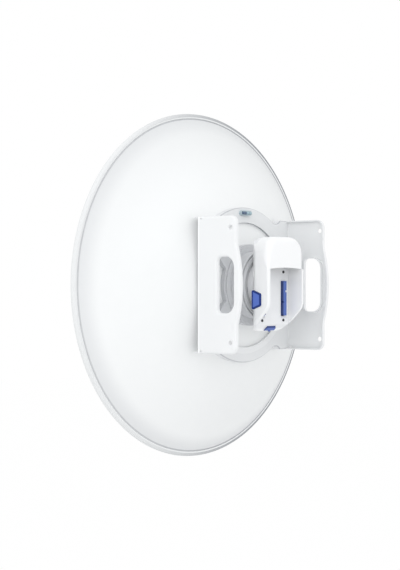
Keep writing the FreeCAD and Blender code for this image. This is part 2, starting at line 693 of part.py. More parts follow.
def feed():
    """Feed tube, its board, the dielectric, sub-reflector, radome and seal."""
    bore = "tube_radius - tube_wall"
    flange_front = f"{TUBE_BACK} + flange_plate"
    board_front = f"{HUB_BACK} + board_thickness"
    node(turned([(bore, TUBE_BACK), ("tube_flange", TUBE_BACK), ("tube_flange", flange_front),
                 ("tube_radius", flange_front), ("tube_radius", TUBE_END), (bore, TUBE_END)]),
         "feed_tube")
    node(turned([("0", HUB_BACK), ("tube_radius", HUB_BACK), ("tube_radius", board_front),
                 ("0", board_front)]), "feed_board")
    pins = [rod("y", "probe_radius", (board_front, f"{board_front} + probe_length"), spot)
            for spot in (("-probe_reach", "0"), ("0", "probe_reach"))]
    node(grouped(*pins), "feed_probes")
    rim_level = f"{TUBE_END} + splash_gap"
    node(turned([("0", f"{TUBE_END} - plug_depth"), (f"{bore} - fit_room", f"{TUBE_END} - plug_depth"),
                 (f"{bore} - fit_room", TUBE_END), ("tube_radius", TUBE_END),
                 ("splash_radius", rim_level), ("0", f"{rim_level} - splash_height")]), "feed_dielectric")
    node(turned([("0", f"{rim_level} - splash_height"), ("splash_radius", rim_level),
                 ("splash_radius", f"{rim_level} + splash_plate"), ("0", f"{rim_level} + splash_plate")]),
         "sub_reflector")
    radome()


def radome():
    """Plastic cap over the sub-reflector, closed in front, on a seal at the tube."""
    front = f"{TUBE_END} + splash_gap + splash_plate + radome_wall + seat_gap"
    back = f"{front} - radome_length"
    inner = "radome_radius - radome_wall"
    neck_room = "tube_radius + fit_room"
    collar = f"{back} - radome_collar"
    shoulder = f"{back} + radome_wall"
    profile = [(neck_room, collar), ("tube_radius + collar_wall", collar),
               ("tube_radius + collar_wall", back), ("radome_radius - radome_bevel", back),
               ("radome_radius", f"{back} + radome_bevel"), ("radome_radius", f"{front} - radome_bevel"),
               ("radome_radius - radome_bevel", front), ("0", front), ("0", f"{front} - radome_wall"),
               (f"{inner} - radome_bevel", f"{front} - radome_wall"),
               (inner, f"{front} - radome_wall - radome_bevel"), (inner, f"{shoulder} + radome_bevel"),
               (f"{inner} - radome_bevel", shoulder), (neck_room, shoulder)]
    cap = turned(profile)
    seal = ("tube_radius + seal_section + fit_room", f"{back} - radome_collar * 2 / 3")
    node(cut(cap, seal_ring(*seal)), "feed_radome")
    node(seal_ring(*seal), "radome_seal")


# --- bay housing ----------------------------------------------------------------------------------

def house_block(inset, span):
    """The housing's rounded outline, set in from its edge, extruded over a span of y."""
    half = f"house_half_width - {inset}"
    box = block((f"-({half})", half), span, (f"-(house_bottom - {inset})", f"house_top - {inset}"))
    return rounded(box, f"house_corner - {inset}", lambda e: straight_edge(e, Vector(0, 1, 0)))


def flat_edges(level):
    """Picks the edges that lie in one plane across the boresight."""
    spot = number(level)
    return lambda e: abs(middle(e).y - spot) < 1e-3 and all(abs(v.Y - spot) < 1e-3 for v in e.Vertexes)


def slope_wedge(shift):
    """What is cut off below the side walls' 45 degree slope, moved forward by a shift."""
    rear = f"{HOUSE_REAR} + ({shift})"
    far = "(house_bottom + house_corner)"
    wide = "(house_half_width + sheet)"
    corners = [(f"{rear} - bay_depth", "-slope_start"), (rear, "-slope_start"),
               (f"{rear} + {far} - slope_start", f"-{far}"), (f"{rear} - bay_depth", f"-{far}")]
    return prism("YZ", corners, (f"-{wide}", wide))


def behind(level):
    """Everything of the housing behind a level."""
    return block(("-2 * house_half_width", "2 * house_half_width"), (f"{HOUSE_REAR} - sheet", level),
                 ("-2 * house_bottom", "2 * house_top"))


def soft_block(inset):
    """The housing's outline over its whole depth, tapered to the front at its sides and top."""
    front = f"{HOUSE_FRONT} - {inset}"
    half, top, bottom = f"house_half_width - {inset}", f"house_top - {inset}", f"-house_bottom + {inset}"
    taper = f"(front_taper - {inset} * (2 - sqrt(2)))"
    chin = f"(front_taper / 5 - {inset} * (2 - sqrt(2)))"
    across = [(f"-({half})", HOUSE_REAR), (f"-({half})", f"{front} - {taper}"),
              (f"{taper} - ({half})", front), (f"{half} - {taper}", front),
              (half, f"{front} - {taper}"), (half, HOUSE_REAR)]
    upright = [(HOUSE_REAR, bottom), (HOUSE_REAR, top), (f"{front} - {taper}", top),
               (front, f"{top} - {taper}"), (front, f"{bottom} + {chin}"), (f"{front} - {chin}", bottom)]
    start = number(f"{front} - {taper}") - 1
    pieces = [house_block(inset, (HOUSE_REAR, front))]
    for plane, corners, span, axis in (("XY", across, (bottom, top), Vector(0, 0, 1)),
                                       ("YZ", upright, (f"-({half})", half), Vector(1, 0, 0))):
        pieces.append(rounded(prism(plane, corners, span), f"taper_round - {inset}",
                              lambda e, axis=axis: straight_edge(e, axis) and start < middle(e).y
                              and middle(e).z > number(bottom) + number(chin) + 1))
    return common(*pieces)


def button_shape(room, x_span):
    """A side button's outline with rounded corners, grown by a room all round."""
    near, far = f"{PLATE} - button_near + {room}", f"{PLATE} - button_far - {room}"
    top, bottom = f"-button_top + {room}", f"-button_bottom - {room}"
    corners = [(near, top), (near, bottom), (far, f"{bottom} + button_taper"),
               (far, f"{top} - button_taper")]
    return rounded(prism("YZ", corners, x_span), f"button_corner + {room}",
                   lambda e: straight_edge(e, Vector(1, 0, 0)))


def screw_spots():
    return [(f"{a} * screw_x", z) for a in (-1, 1) for z in ("screw_top", "-screw_bottom")]


def house_body():
    """Outside of the rear shell: sloping side walls below, hood above."""
    span = (HOUSE_REAR, SEAM)
    everywhere = ("-2 * house_half_width", "2 * house_half_width")
    rear = number(HOUSE_REAR)
    start = number("slope_start")
    half = number("house_half_width")
    lower = cut(house_block("0", span), block(everywhere, (HOUSE_REAR, HOUSE_FRONT),
                                              ("hood_mouth", "2 * house_top")), slope_wedge("0"))
    lower = rounded(lower, "slope_round", lambda e: straight_edge(e, Vector(1, 0, 0))
                    and abs(middle(e).z + start) < 1e-3 and abs(middle(e).y - rear) < 1e-3)
    lower = rounded(lower, "rim_round", lambda e: straight_edge(e, Vector(0, 0, 1))
                    and abs(abs(middle(e).x) - half) < 1e-3 and abs(middle(e).y - rear) < 1e-3)
    upper = cut(house_block("0", span), block(everywhere, (HOUSE_REAR, HOUSE_FRONT),
                                              ("-2 * house_bottom", "hood_mouth")))
    mouth = number("hood_mouth")
    on_rear = flat_edges(HOUSE_REAR)
    upper = rounded(upper, "hood_round", lambda e: on_rear(e) and middle(e).z > mouth + 1e-3)
    doc.recompute()
    sides = []
    for index, small, large in upper.Edges:
        edge = upper.Base.Shape.Edges[index - 1]
        if straight_edge(edge, Vector(0, 0, 1)):
            small = number("rim_round")
            if edge.valueAt(edge.FirstParameter).z > edge.valueAt(edge.LastParameter).z:
                small, large = large, small
        sides.append((index, small, large))
    upper.Edges = sides
    pad = button_shape("pad_rim", (BAY_HALF, "house_half_width"))
    return fuse(common(fuse(lower, upper), soft_block("0")), pad, mirrored(pad))


def bay_hollows():
    """The open bay, the hollow under the hood and the arch of the hood's lower edge."""
    bay = f"({BAY_HALF})"
    low = f"{HOUSE_REAR} - hood_wall"
    open_bay = block((f"-{bay}", bay), (low, FLOOR), ("-house_bottom - sheet", "hood_mouth"))
    roof = house_block("side_wall", (f"{HOUSE_REAR} + hood_wall", FLOOR))
    roof = cut(roof, block((f"-2 * {bay}", f"2 * {bay}"), (low, FLOOR),
                           ("-2 * house_bottom", "hood_mouth - sheet")))
    on_rear = flat_edges(f"{HOUSE_REAR} + hood_wall")
    mouth = number("hood_mouth")
    roof = rounded(roof, "hood_round - hood_wall", lambda e: on_rear(e) and middle(e).z > mouth)
    radius = f"(({bay} ^ 2 + mouth_arch ^ 2) / (2 * mouth_arch))"
    disc = rod("y", radius, (low, FLOOR), ("0", f"hood_mouth + mouth_arch - {radius}"))
    arch = common(disc, block((f"-{bay}", bay), (low, FLOOR),
                              ("hood_mouth - sheet", "hood_mouth + mouth_arch")))
    return [open_bay, roof, arch]


def rail_slot(side, inset, span):
    """Room in the floor for a rail's head or foot over the lock's whole travel."""
    half = f"(rail_width / 2 + slide_room - {inset})"
    return block((f"{side} * rail_x - {half}", f"{side} * rail_x + {half}"), span,
                 (f"-rail_bottom - lock_travel - slide_room + {inset}", f"rail_top + slide_room - {inset}"))


def housing():
    """Rear shell: side walls, floor and hood in one moulding."""
    inside = common(house_block("shell_wall", (FLOOR_FRONT, f"{SEAM} + sheet")), soft_block("shell_wall"))
    cavity = cut(inside, slope_wedge("bay_floor * 1.5"))
    room = "slide_room"
    floor_span = (f"{FLOOR} - sheet", f"{FLOOR_FRONT} + sheet")
    slots = []
    for side in (-1, 1):
        slots.append(rail_slot(side, "0", (f"{FLOOR} - sheet", f"{FLOOR} + rail_recess")))
        slots.append(rail_slot(side, "foot_inset", floor_span))
    stem = block((f"-stem_half_width - {room}", f"stem_half_width + {room}"),
                 (f"{FLOOR_FRONT} - {room}", f"{FLOOR_FRONT} + seat_gap + plate_thickness + {room}"),
                 ("-tab_bottom", "-slope_start - bay_depth + bay_floor"))
    screws = [rod("y", "screw_radius + hole_room", floor_span, spot) for spot in screw_spots()]
    leads = [rod("y", "lead_radius + slide_room", floor_span, (f"{s} * lead_x", "lead_z")) for s in (-1, 1)]
    pocket = button_shape(room, (f"{BAY_HALF} + pocket_skin", "house_half_width + sheet"))
    web_span = (FLOOR_FRONT, f"{LATCH_START} + latch_web + {room}")
    web_low = f"-button_bottom + button_taper - {room}"
    clear = f"arm_x - latch_travel - {room}"
    passage = fuse(pocket, block((clear, f"{BAY_HALF} + 2 * pocket_skin"), web_span,
                                 (web_low, f"-arm_bottom + {room}")),
                   block((clear, f"arm_x + latch_arm + {room}"), web_span, (web_low, f"-arm_top + {room}")),
                   block((clear, f"arm_x + latch_arm + {room}"), (FLOOR_FRONT, f"{SEAM} + sheet"),
                         (f"-arm_bottom - {room}", f"-arm_top + {room}")))
    tools = bay_hollows() + [cavity, stem, passage, mirrored(passage)] + slots + screws + leads
    return node(cut(house_body(), *tools), "bay_housing")


def front_shell():
    """Front moulding: rounded face, screw bosses, spigot for the neck and the spring's rib."""
    shell = cut(soft_block("0"), slope_wedge("0"), behind(SEAM))
    hollow = cut(soft_block("shell_wall"), slope_wedge("bay_floor * 1.5"), behind(f"{SEAM} - sheet"))
    spigot_radius = "lip_bore - spigot_room"
    spigot = rod("y", spigot_radius, (SEAM, f"{HOUSE_FRONT} + spigot_length"))
    throat = rod("y", f"{spigot_radius} - spigot_wall", (HOUSE_FRONT, f"{HOUSE_FRONT} + 2 * spigot_length"))
    seat = rod("y", "cover_radius + fit_room", (f"{HOUSE_FRONT} - cover_thickness", f"{HOUSE_FRONT} + sheet"))
    opening = rod("y", "cover_radius - cover_ledge", (f"{HOUSE_FRONT} - 2 * shell_wall", HOUSE_FRONT))
    boss_end = f"{HOUSE_FRONT} - 0.75 * shell_wall"
    bosses = [rod("y", "boss_radius", (FLOOR_FRONT, boss_end), spot) for spot in screw_spots()]
    bosses = cut(fuse(*bosses), slope_wedge("bay_floor * 1.5 + seat_gap"))
    rib = block(("-stem_half_width / 3", "stem_half_width / 3"),
                (f"{FLOOR_FRONT} + 2 * plate_thickness + seat_gap", f"{HOUSE_FRONT} - shell_wall / 2"),
                ("-spring_bottom - plate_thickness", "-spring_bottom"))
    bores = [rod("y", "screw_radius + fit_room", (f"{FLOOR_FRONT} - sheet", f"{HOUSE_FRONT} - shell_wall"),
                 spot) for spot in screw_spots()]
    arm_slot = block(("arm_x - latch_travel - slide_room", "arm_x + latch_arm + slide_room"),
                     (f"{SEAM} - sheet", f"{HOUSE_FRONT} + 2 * spigot_length"),
                     ("-arm_bottom - slide_room", "-arm_top + slide_room"))
    window = block(("arm_x - latch_travel - slide_room", "lip_bore + sheet"),
                   (HOUSE_FRONT, f"{HOUSE_FRONT} + 2 * spigot_length"),
                   ("-arm_bottom - slide_room", "-arm_top + slide_room"))
    tools = [throat, seat, opening, arm_slot, window, mirrored(arm_slot), mirrored(window)]
    shell = cut(fuse(cut(fuse(shell, spigot), hollow), bosses, rib), *tools, *bores)
    node(shell, "front_shell")


def small_covers():
    """Round cover with its grommets, the bay screws and the gasket at the neck."""
    cover = rod("y", "cover_radius", (f"{HOUSE_FRONT} - cover_thickness", HOUSE_FRONT))
    grommet_radius = "lead_radius + grommet_wall"
    spots = [(f"{s} * lead_x", "0") for s in (-1, 1)]
    cover_span = (f"{HOUSE_FRONT} - 2 * cover_thickness", f"{HOUSE_FRONT} + cover_thickness")
    node(cut(cover, *[rod("y", f"{grommet_radius} + fit_room", cover_span, spot) for spot in spots]),
         "front_cover")
    grommets = []
    for spot in spots:
        collar = (f"{HOUSE_FRONT} - 1.5 * cover_thickness", f"{HOUSE_FRONT} - cover_thickness")
        body = fuse(rod("y", grommet_radius, (collar[0], f"{HOUSE_FRONT} + cover_thickness / 2"), spot),
                    rod("y", f"{grommet_radius} + grommet_wall", collar, spot))
        grommets.append(cut(body, rod("y", "lead_radius + fit_room", cover_span, spot)))
    node(grouped(*grommets), "lead_grommets")
    screws = []
    for spot in screw_spots():
        head = rod("y", "screw_head", (f"{FLOOR} - screw_sink", FLOOR), spot)
        recess = rod("y", "screw_radius * 0.7", (f"{FLOOR} - 2 * screw_sink", f"{FLOOR} - screw_sink / 2"),
                     spot)
        shank = rod("y", "screw_radius", (f"{FLOOR} - screw_sink / 4", f"{HOUSE_FRONT} - 1.5 * shell_wall"),
                    spot)
        screws.append(fuse(cut(head, recess), shank))
    node(grouped(*screws), "bay_screws")
    node(turned([("lip_bore + seat_gap", HOUSE_FRONT), ("ridge_inner - seat_gap", HOUSE_FRONT),
                 ("ridge_inner - seat_gap", NECK_END), ("lip_bore + seat_gap", NECK_END)]), "neck_gasket")


# --- radio lock, side latches, connectors ---------------------------------------------------------

def lock():
    """Lock slider with its release tab, the two rails it carries and its spring."""
    back = f"{FLOOR_FRONT} + seat_gap"
    front = f"{back} + plate_thickness"
    plate = block(("-plate_half_width", "plate_half_width"), (back, front), ("-rail_bottom", "rail_top"))
    window = block(("-stem_half_width", "stem_half_width"), (f"{back} - sheet", f"{front} + sheet"),
                   ("-spring_bottom", "-spring_top - plate_thickness"))
    stem = block(("-stem_half_width", "stem_half_width"), (back, front),
                 ("-tab_top - plate_thickness", "-rail_bottom + plate_thickness"))
    near = f"{HOUSE_REAR} - slope_start - slide_room * 1.5"
    far = f"{near} - tab_thickness"
    tab = prism("YZ", [(f"{far} + tab_top", "-tab_top"), (f"{near} + tab_top", "-tab_top"),
                       (f"{near} + tab_bottom", "-tab_bottom"), (f"{far} + tab_bottom", "-tab_bottom")],
                ("-tab_half_width", "tab_half_width"))
    tip_top = "-tab_bottom + slide_room"
    tip = prism("XZ", [("-tab_half_width / 4", tip_top), ("-tab_half_width / 4", "-tab_bottom"),
                       ("0", "-tab_bottom - sheet"), ("tab_half_width / 4", "-tab_bottom"),
                       ("tab_half_width / 4", tip_top)],
                (f"{far} + tab_bottom - slide_room", f"{near} + tab_bottom - slide_room"))
    hook = block(("-stem_half_width / 3", "stem_half_width / 3"),
                 (f"{front} - plate_thickness / 2", f"{front} + 3 * plate_thickness"),
                 ("-spring_top", "-spring_top + plate_thickness"))
    node(fuse(cut(plate, window), stem, tab, tip, hook), "lock_slider")
    for side, name in ((-1, "left_rail"), (1, "right_rail")):
        rail(side, back, name)
    spring()


def rail(side, foot_end, name):
    """One lock rail: a notched head in the floor's recess on a foot that stands on the slider."""
    top = f"{FLOOR} - rail_height"
    base = f"{FLOOR} + rail_recess - seat_gap"
    low, high = f"{side} * rail_x - rail_width / 2", f"{side} * rail_x + rail_width / 2"
    head = block((low, high), (top, base), ("-rail_bottom", "rail_top"))
    head = rounded(head, "rail_notch / 6", flat_edges(top))
    outer, inner = (f"{high} - rail_notch", high), (low, f"{low} + rail_notch")
    if side < 0:
        outer, inner = inner, outer
    cuts = []
    for span, level in ((outer, "outer_notch"), (inner, "inner_notch"), (inner, "rail_bottom")):
        cuts.append(block(span, (f"{top} - rail_height", f"{FLOOR} - seat_gap"),
                          (f"-{level} - rail_notch / 2", f"-{level} + rail_notch / 2")))
    foot = block((f"{low} + foot_inset", f"{high} - foot_inset"), (f"{base} - seat_gap", foot_end),
                 ("-rail_bottom + foot_inset", "rail_top - foot_inset"))
    return node(fuse(cut(head, *cuts), foot), name)


def spring():
    """Compression spring between the slider's hook and the front shell's rib."""
    length = number("spring_bottom") - number("spring_top")
    wire = number("spring_wire")
    turns = number("spring_turns")
    helix = Part.makeHelix((length - 2 * wire) / turns, length - 2 * wire, number("spring_radius"))
    section = Part.Wire(Part.makeCircle(wire, Vector(number("spring_radius"), 0, 0), Vector(0, 1, 0)))
    coil = doc.addObject("Part::Feature", "Coil")
    coil.Shape = Part.Wire(helix.Edges).makePipeShell([section], True, True)
    place(coil, "0", f"{FLOOR_FRONT} + seat_gap + plate_thickness + spring_radius + 3 * spring_wire",
          "-spring_bottom + spring_wire")
    return node(coil, "lock_spring")


def latches():
    """Sprung side buttons whose hooks hold the housing in the neck's mouth."""
    face = "house_half_width + button_proud"
    inner = f"{face} - button_thickness"
    hook = f"{NECK_END} + neck_wall + seat_gap"
    button = button_shape("0", (inner, face))
    arm_span = ("arm_x", "arm_x + latch_arm")
    web_span = (LATCH_START, f"{LATCH_START} + latch_web")
    web_low = "-button_bottom + button_taper"
    web = fuse(block(("arm_x", f"{inner} + seat_gap"), web_span, (web_low, "-arm_bottom")),
               block(arm_span, web_span, (web_low, "-arm_top")))
    arm = block(arm_span, (LATCH_START, f"{hook} + 2 * latch_web"), ("-arm_bottom", "-arm_top"))
    root = "arm_x + latch_arm - seat_gap"
    end = f"{root} + nose_reach"
    nose = prism("XY", [(root, hook), (end, hook), (end, f"{hook} + latch_web / 2"),
                        (root, f"{hook} + 2 * latch_web")], ("-arm_bottom", "-arm_top"))
    right = fuse(button, web, arm, nose)
    node(mirrored(right), "left_latch")
    node(right, "right_latch")


def connectors():
    """Connector block under the hood, its two sockets and the leads to the feed board."""
    low, high = f"{FLOOR} - block_height", FLOOR
    body = block(("-block_half_width", "block_half_width"), (low, high),
                 ("block_z", "block_z + block_height"))
    axis_y = f"{FLOOR} - block_height / 2"
    node(body, "connector_block")
    sockets = []
    for side in (-1, 1):
        spot = (f"{side} * socket_x", axis_y)
        barrel = rod("z", "socket_radius", ("block_z - socket_length", "block_z"), spot)
        bore = rod("z", "socket_radius - socket_wall", ("block_z - 2 * socket_length", "block_z - sheet"),
                   spot)
        pin = rod("z", "socket_pin", ("block_z - socket_length / 2", "block_z - sheet / 2"), spot)
        sockets.append(fuse(cut(barrel, bore), pin))
    node(grouped(*sockets), "rf_sockets")
    for side, name in ((-1, "left_lead"), (1, "right_lead")):
        lead(f"{side} * lead_x", name)


def lead(x, name):
    """Coaxial lead: forward out of the block, down inside the shell, forward to the feed board."""
    run = f"{FLOOR_FRONT} + lead_run"
    upper = rod("y", "lead_radius", (FLOOR, run), (x, "lead_z"))
    down = rod("z", "lead_radius", ("0", "lead_z"), (x, run))
    lower = rod("y", "lead_radius", (run, HUB_BACK), (x, "0"))
    knees = []
    for z in ("0", "lead_z"):
        knee = doc.addObject("Part::Sphere", "Knee")
        bind(knee, "Radius", "lead_radius")
        knees.append(place(knee, x, run, z))
    return node(fuse(upper, down, lower, *knees), name)


def level():
    """Bubble level in a clip on the bracket plate's upper lobe."""
    clip_span = (f"{PLATE} - 2 * vial_radius", PLATE)
    half = "vial_half_length - vial_radius"
    height = ("vial_z - 1.5 * vial_radius", "vial_z + 1.5 * vial_radius")
    clip = fuse(block((f"-vial_x - ({half})", f"-vial_x + {half}"), clip_span, height),
                *[rod("y", "1.5 * vial_radius", clip_span, (f"-vial_x + {s} * ({half})", "vial_z"))
                  for s in (-1, 1)])
    vial_y = f"{PLATE} - 2 * vial_radius + seat_gap"
    ends = ("-vial_x - vial_half_length", "-vial_x + vial_half_length")
    vial = rod("x", "vial_radius", ends, (vial_y, "vial_z"))
    groove = rod("x", "vial_radius + fit_room", (f"{ends[0]} - fit_room", f"{ends[1]} + fit_room"),
                 (vial_y, "vial_z"))
    node(cut(clip, groove), "level_clip")
    node(vial, "level_vial")


def main():
    reflector()
    bracket()
    hub()
    clamp_ring()
    fasteners()
    neck()
    flange_back = f"{HUB_BACK} - flange_height"
    flange_screws("(neck_radius + neck_flange) / 2", f"{flange_back} - screw_sink", flange_back,
                  "neck_screws")
    feed()
    flange_front = f"{TUBE_BACK} + flange_plate"
    flange_screws("(tube_radius + tube_flange) / 2", flange_front, f"{flange_front} + screw_sink",
                  "feed_screws")
    housing()
    front_shell()
    small_covers()
    lock()
    latches()
    connectors()
    level()
    doc.recompute()
    for item in doc.Objects:
        if {"Invalid", "Error"} & set(item.State):
            raise RuntimeError(f"{item.Name} ({item.Label}) is {item.State}")
    os.makedirs("parts", exist_ok=True)
    for item in NODES:
        if item.Shape.isNull() or not item.Shape.isValid() or not item.Shape.Solids:
            raise RuntimeError(f"{item.Label} has no valid solid")
        item.Shape.exportStep(f"parts/{item.Label}.step")
        print(item.Label, len(item.Shape.Solids), round(item.Shape.Volume / 1000, 2))


main()
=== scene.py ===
import bpy
import bmesh
import json
import math
from mathutils import Matrix, Vector


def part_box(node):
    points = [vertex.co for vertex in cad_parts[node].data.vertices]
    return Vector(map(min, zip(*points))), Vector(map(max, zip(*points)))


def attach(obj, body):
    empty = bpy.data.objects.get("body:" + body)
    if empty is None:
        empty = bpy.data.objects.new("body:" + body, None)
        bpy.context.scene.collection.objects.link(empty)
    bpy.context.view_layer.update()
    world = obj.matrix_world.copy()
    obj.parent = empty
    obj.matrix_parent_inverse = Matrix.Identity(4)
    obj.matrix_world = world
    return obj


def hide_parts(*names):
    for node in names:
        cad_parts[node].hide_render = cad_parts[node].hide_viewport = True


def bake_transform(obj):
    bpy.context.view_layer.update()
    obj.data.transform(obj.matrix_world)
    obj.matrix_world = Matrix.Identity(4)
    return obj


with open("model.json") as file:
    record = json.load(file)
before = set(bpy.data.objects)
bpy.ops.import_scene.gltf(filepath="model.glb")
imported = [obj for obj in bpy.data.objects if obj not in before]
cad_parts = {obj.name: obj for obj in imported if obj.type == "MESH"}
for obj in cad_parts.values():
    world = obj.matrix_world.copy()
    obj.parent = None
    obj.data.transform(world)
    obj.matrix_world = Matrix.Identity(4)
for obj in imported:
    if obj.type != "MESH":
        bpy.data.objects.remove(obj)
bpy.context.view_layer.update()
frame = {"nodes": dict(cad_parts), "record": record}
nodes = frame["nodes"]
print("frame loaded:", len(nodes), "nodes")


# camera, world, lamps and floor

view = {
    "azimuth": 47.836,          # degrees the camera looks to the right of +Y
    "distance": 2.6891,
    "aimX": -0.1246,
    "plateY": 0.076,            # level that the camera's aim lies in
    "lens": 94.79,
    "sensor": 36.0,
}
light = {
    "skyColor": (0.985, 0.992, 1.0),
    "skyStrength": 1.0,         # mean of the sky, before its slope
    "skySlope": 0.24,           # how much brighter it is on the side of skyToward
    "skyToward": (-0.80, -0.50, 0.33),
    "keyEnergy": 9.0, "keySize": 1.8, "keyAt": (-2.6, -1.4, 1.4),
    "fillEnergy": 3.0, "fillSize": 2.4, "fillAt": (-1.0, -2.9, -0.3),
    "rimEnergy": 2.0, "rimSize": 1.6, "rimAt": (0.5, 1.9, 1.7),
    "aim": (0.0, 0.05, 0.0),    # where the lamps point
}


def addCamera():
    turn = math.radians(view["azimuth"])
    look = Vector((math.sin(turn), math.cos(turn), 0.0))
    data = bpy.data.cameras.new("viewCamera")
    data.sensor_fit = "AUTO"
    data.sensor_width = view["sensor"]
    data.lens = view["lens"]
    camera = bpy.data.objects.new("viewCamera", data)
    camera.location = Vector((view["aimX"], view["plateY"], 0.0)) - look * view["distance"]
    camera.rotation_euler = look.to_track_quat("-Z", "Y").to_euler()
    bpy.context.scene.collection.objects.link(camera)
    bpy.context.scene.camera = camera


def addLamp(kind):
    # one round lamp; kind is key, fill or rim
    place = Vector(light[kind + "At"])
    data = bpy.data.lights.new(kind + "Lamp", "AREA")
    data.shape = "DISK"
    data.energy = light[kind + "Energy"]
    data.size = light[kind + "Size"]
    lamp = bpy.data.objects.new(kind + "Lamp", data)
    lamp.location = place
    lamp.rotation_euler = (Vector(light["aim"]) - place).to_track_quat("-Z", "Y").to_euler()
    bpy.context.scene.collection.objects.link(lamp)


class Val:
    # a socket that takes part in Python expressions
    def __init__(self, tree, socket):
        self.tree = tree
        self.socket = socket

    def math(self, operation, *values):
        return self.tree.node("ShaderNodeMath", {"operation": operation}, *values)

    def __add__(self, other):
        return self.math("ADD", self, other)

    def __radd__(self, other):
        return self.math("ADD", other, self)

    def __sub__(self, other):
        return self.math("SUBTRACT", self, other)

    def __rsub__(self, other):
        return self.math("SUBTRACT", other, self)

    def __mul__(self, other):
        return self.math("MULTIPLY", self, other)

    def __rmul__(self, other):
        return self.math("MULTIPLY", other, self)

    def __truediv__(self, other):
        return self.math("DIVIDE", self, other)

    def __rtruediv__(self, other):
        return self.math("DIVIDE", other, self)

    def least(self, other):
        return self.math("MINIMUM", self, other)

    def size(self):
        return self.math("ABSOLUTE", self)

    def out(self, which):
        # another output of the same node, by number or name
        return Val(self.tree, self.socket.node.outputs[which])

    def above(self, edge, width):
        # soft step from 0 below the edge to 1 above it; width is the step's half
        return self.tree.node("ShaderNodeMapRange", {"interpolation_type": "SMOOTHSTEP"},
                              self, edge - width, edge + width, 0.0, 1.0)


class Nodes:
    # adds nodes to a shader or geometry tree
    def feed(self, socket, value):
        if isinstance(value, Val):
            self.tree.links.new(value.socket, socket)
        elif hasattr(socket.default_value, "__len__") and not hasattr(value, "__len__"):
            socket.default_value = [value] * len(socket.default_value)
        elif hasattr(value, "__len__") and len(value) == 3 and len(socket.default_value) == 4:
            socket.default_value = (*value, 1.0)
        else:
            socket.default_value = value

    def node(self, kind, settings, *values, out=0, **named):
        made = self.tree.nodes.new(kind)
        for setting, value in settings.items():
            setattr(made, setting, value)
        for socket, value in zip(made.inputs, values):
            if value is not None:
                self.feed(socket, value)
        for key, value in named.items():
            self.feed(made.inputs[key.replace("_", " ")], value)
        return Val(self, made.outputs[out])


class Mat(Nodes):
    # one material and its nodes
    def __init__(self, name):
        self.data = bpy.data.materials.new(name)
        self.data.use_nodes = True
        self.tree = self.data.node_tree
        self.shader = self.tree.nodes["Principled BSDF"]
        coords = self.tree.nodes.new("ShaderNodeTexCoord")
        self.place = Val(self, coords.outputs["Object"])

    def noise(self, scale, detail, roughness=0.5, where=None):
        return self.node("ShaderNodeTexNoise", {"noise_dimensions": "3D"},
                         Vector=where or self.place, Scale=scale, Detail=detail,
                         Roughness=roughness)

    def spread(self, scale):
        # place stretched by a different factor along each axis
        return self.node("ShaderNodeVectorMath", {"operation": "MULTIPLY"}, self.place, scale)

    def blend(self, mask, first, second):
        # for colours the Mix node has its factor at 0, its two colours at 6 and 7, the result at 2
        mixed = self.tree.nodes.new("ShaderNodeMix")
        mixed.data_type = "RGBA"
        self.feed(mixed.inputs[0], mask)
        self.feed(mixed.inputs[6], first)
        self.feed(mixed.inputs[7], second)
        return Val(self, mixed.outputs[2])

    def finish(self, color, rough, metallic=0.0, height=None, bump=0.0, depth=0.001, **constants):
        self.feed(self.shader.inputs["Base Color"], color)
        self.feed(self.shader.inputs["Roughness"], rough)
        self.feed(self.shader.inputs["Metallic"], metallic)
        for key, value in constants.items():
            self.feed(self.shader.inputs[key.replace("_", " ")], value)
        if height is not None:
            normal = self.node("ShaderNodeBump", {}, Strength=bump, Distance=depth, Height=height)
            self.feed(self.shader.inputs["Normal"], normal)
        return self.data


class Tree(Nodes):
    # one geometry tree with named inputs
    def __init__(self, name, inputs):
        self.data = bpy.data.node_groups.new(name, "GeometryNodeTree")
        self.tree = self.data
        face = self.data.interface
        face.new_socket("Geometry", in_out="INPUT", socket_type="NodeSocketGeometry")
        for label, kind in inputs.items():
            face.new_socket(label, in_out="INPUT", socket_type=kind)
        face.new_socket("Geometry", in_out="OUTPUT", socket_type="NodeSocketGeometry")
        self.start = self.data.nodes.new("NodeGroupInput")
        self.end = self.data.nodes.new("NodeGroupOutput")

    def given(self, label):
        return Val(self, self.start.outputs[label])

    def close(self, geometry, finish):
        # every tree ends with real geometry and its finish
        real = self.node("GeometryNodeRealizeInstances", {}, geometry)
        painted = self.node("GeometryNodeSetMaterial", {}, Geometry=real, Material=finish)
        self.data.links.new(painted.socket, self.end.inputs[0])


def grow(name, tree, mesh, values):
    # runs a tree on a mesh and keeps the result as a plain piece
    seed = bpy.data.objects.new(name + "Seed", mesh)
    bpy.context.scene.collection.objects.link(seed)
    modifier = seed.modifiers.new(tree.data.name, "NODES")
    modifier.node_group = tree.data
    for item in tree.data.interface.items_tree:
        if item.in_out == "INPUT" and item.name in values:
            modifier[item.identifier] = values[item.name]
    graph = bpy.context.evaluated_depsgraph_get()
    made = bpy.data.meshes.new_from_object(seed.evaluated_get(graph), depsgraph=graph)
    bpy.data.objects.remove(seed)
    return addPiece(name, made)


def addPiece(name, mesh, finish=None):
    mesh.name = name
    if finish:
        mesh.materials.append(finish)
    piece = bpy.data.objects.new(name, mesh)
    bpy.context.scene.collection.objects.link(piece)
    return piece


def closeUp(mesh, angle=35.0):
    # merges doubles, turns every face outwards and smooths what is not a corner
    work = bmesh.new()
    work.from_mesh(mesh)
    bmesh.ops.remove_doubles(work, verts=work.verts, dist=1e-6)
    bmesh.ops.recalc_face_normals(work, faces=work.faces)
    work.to_mesh(mesh)
    work.free()
    mesh.shade_smooth()
    mesh.set_sharp_from_angle(angle=math.radians(angle))
    return mesh


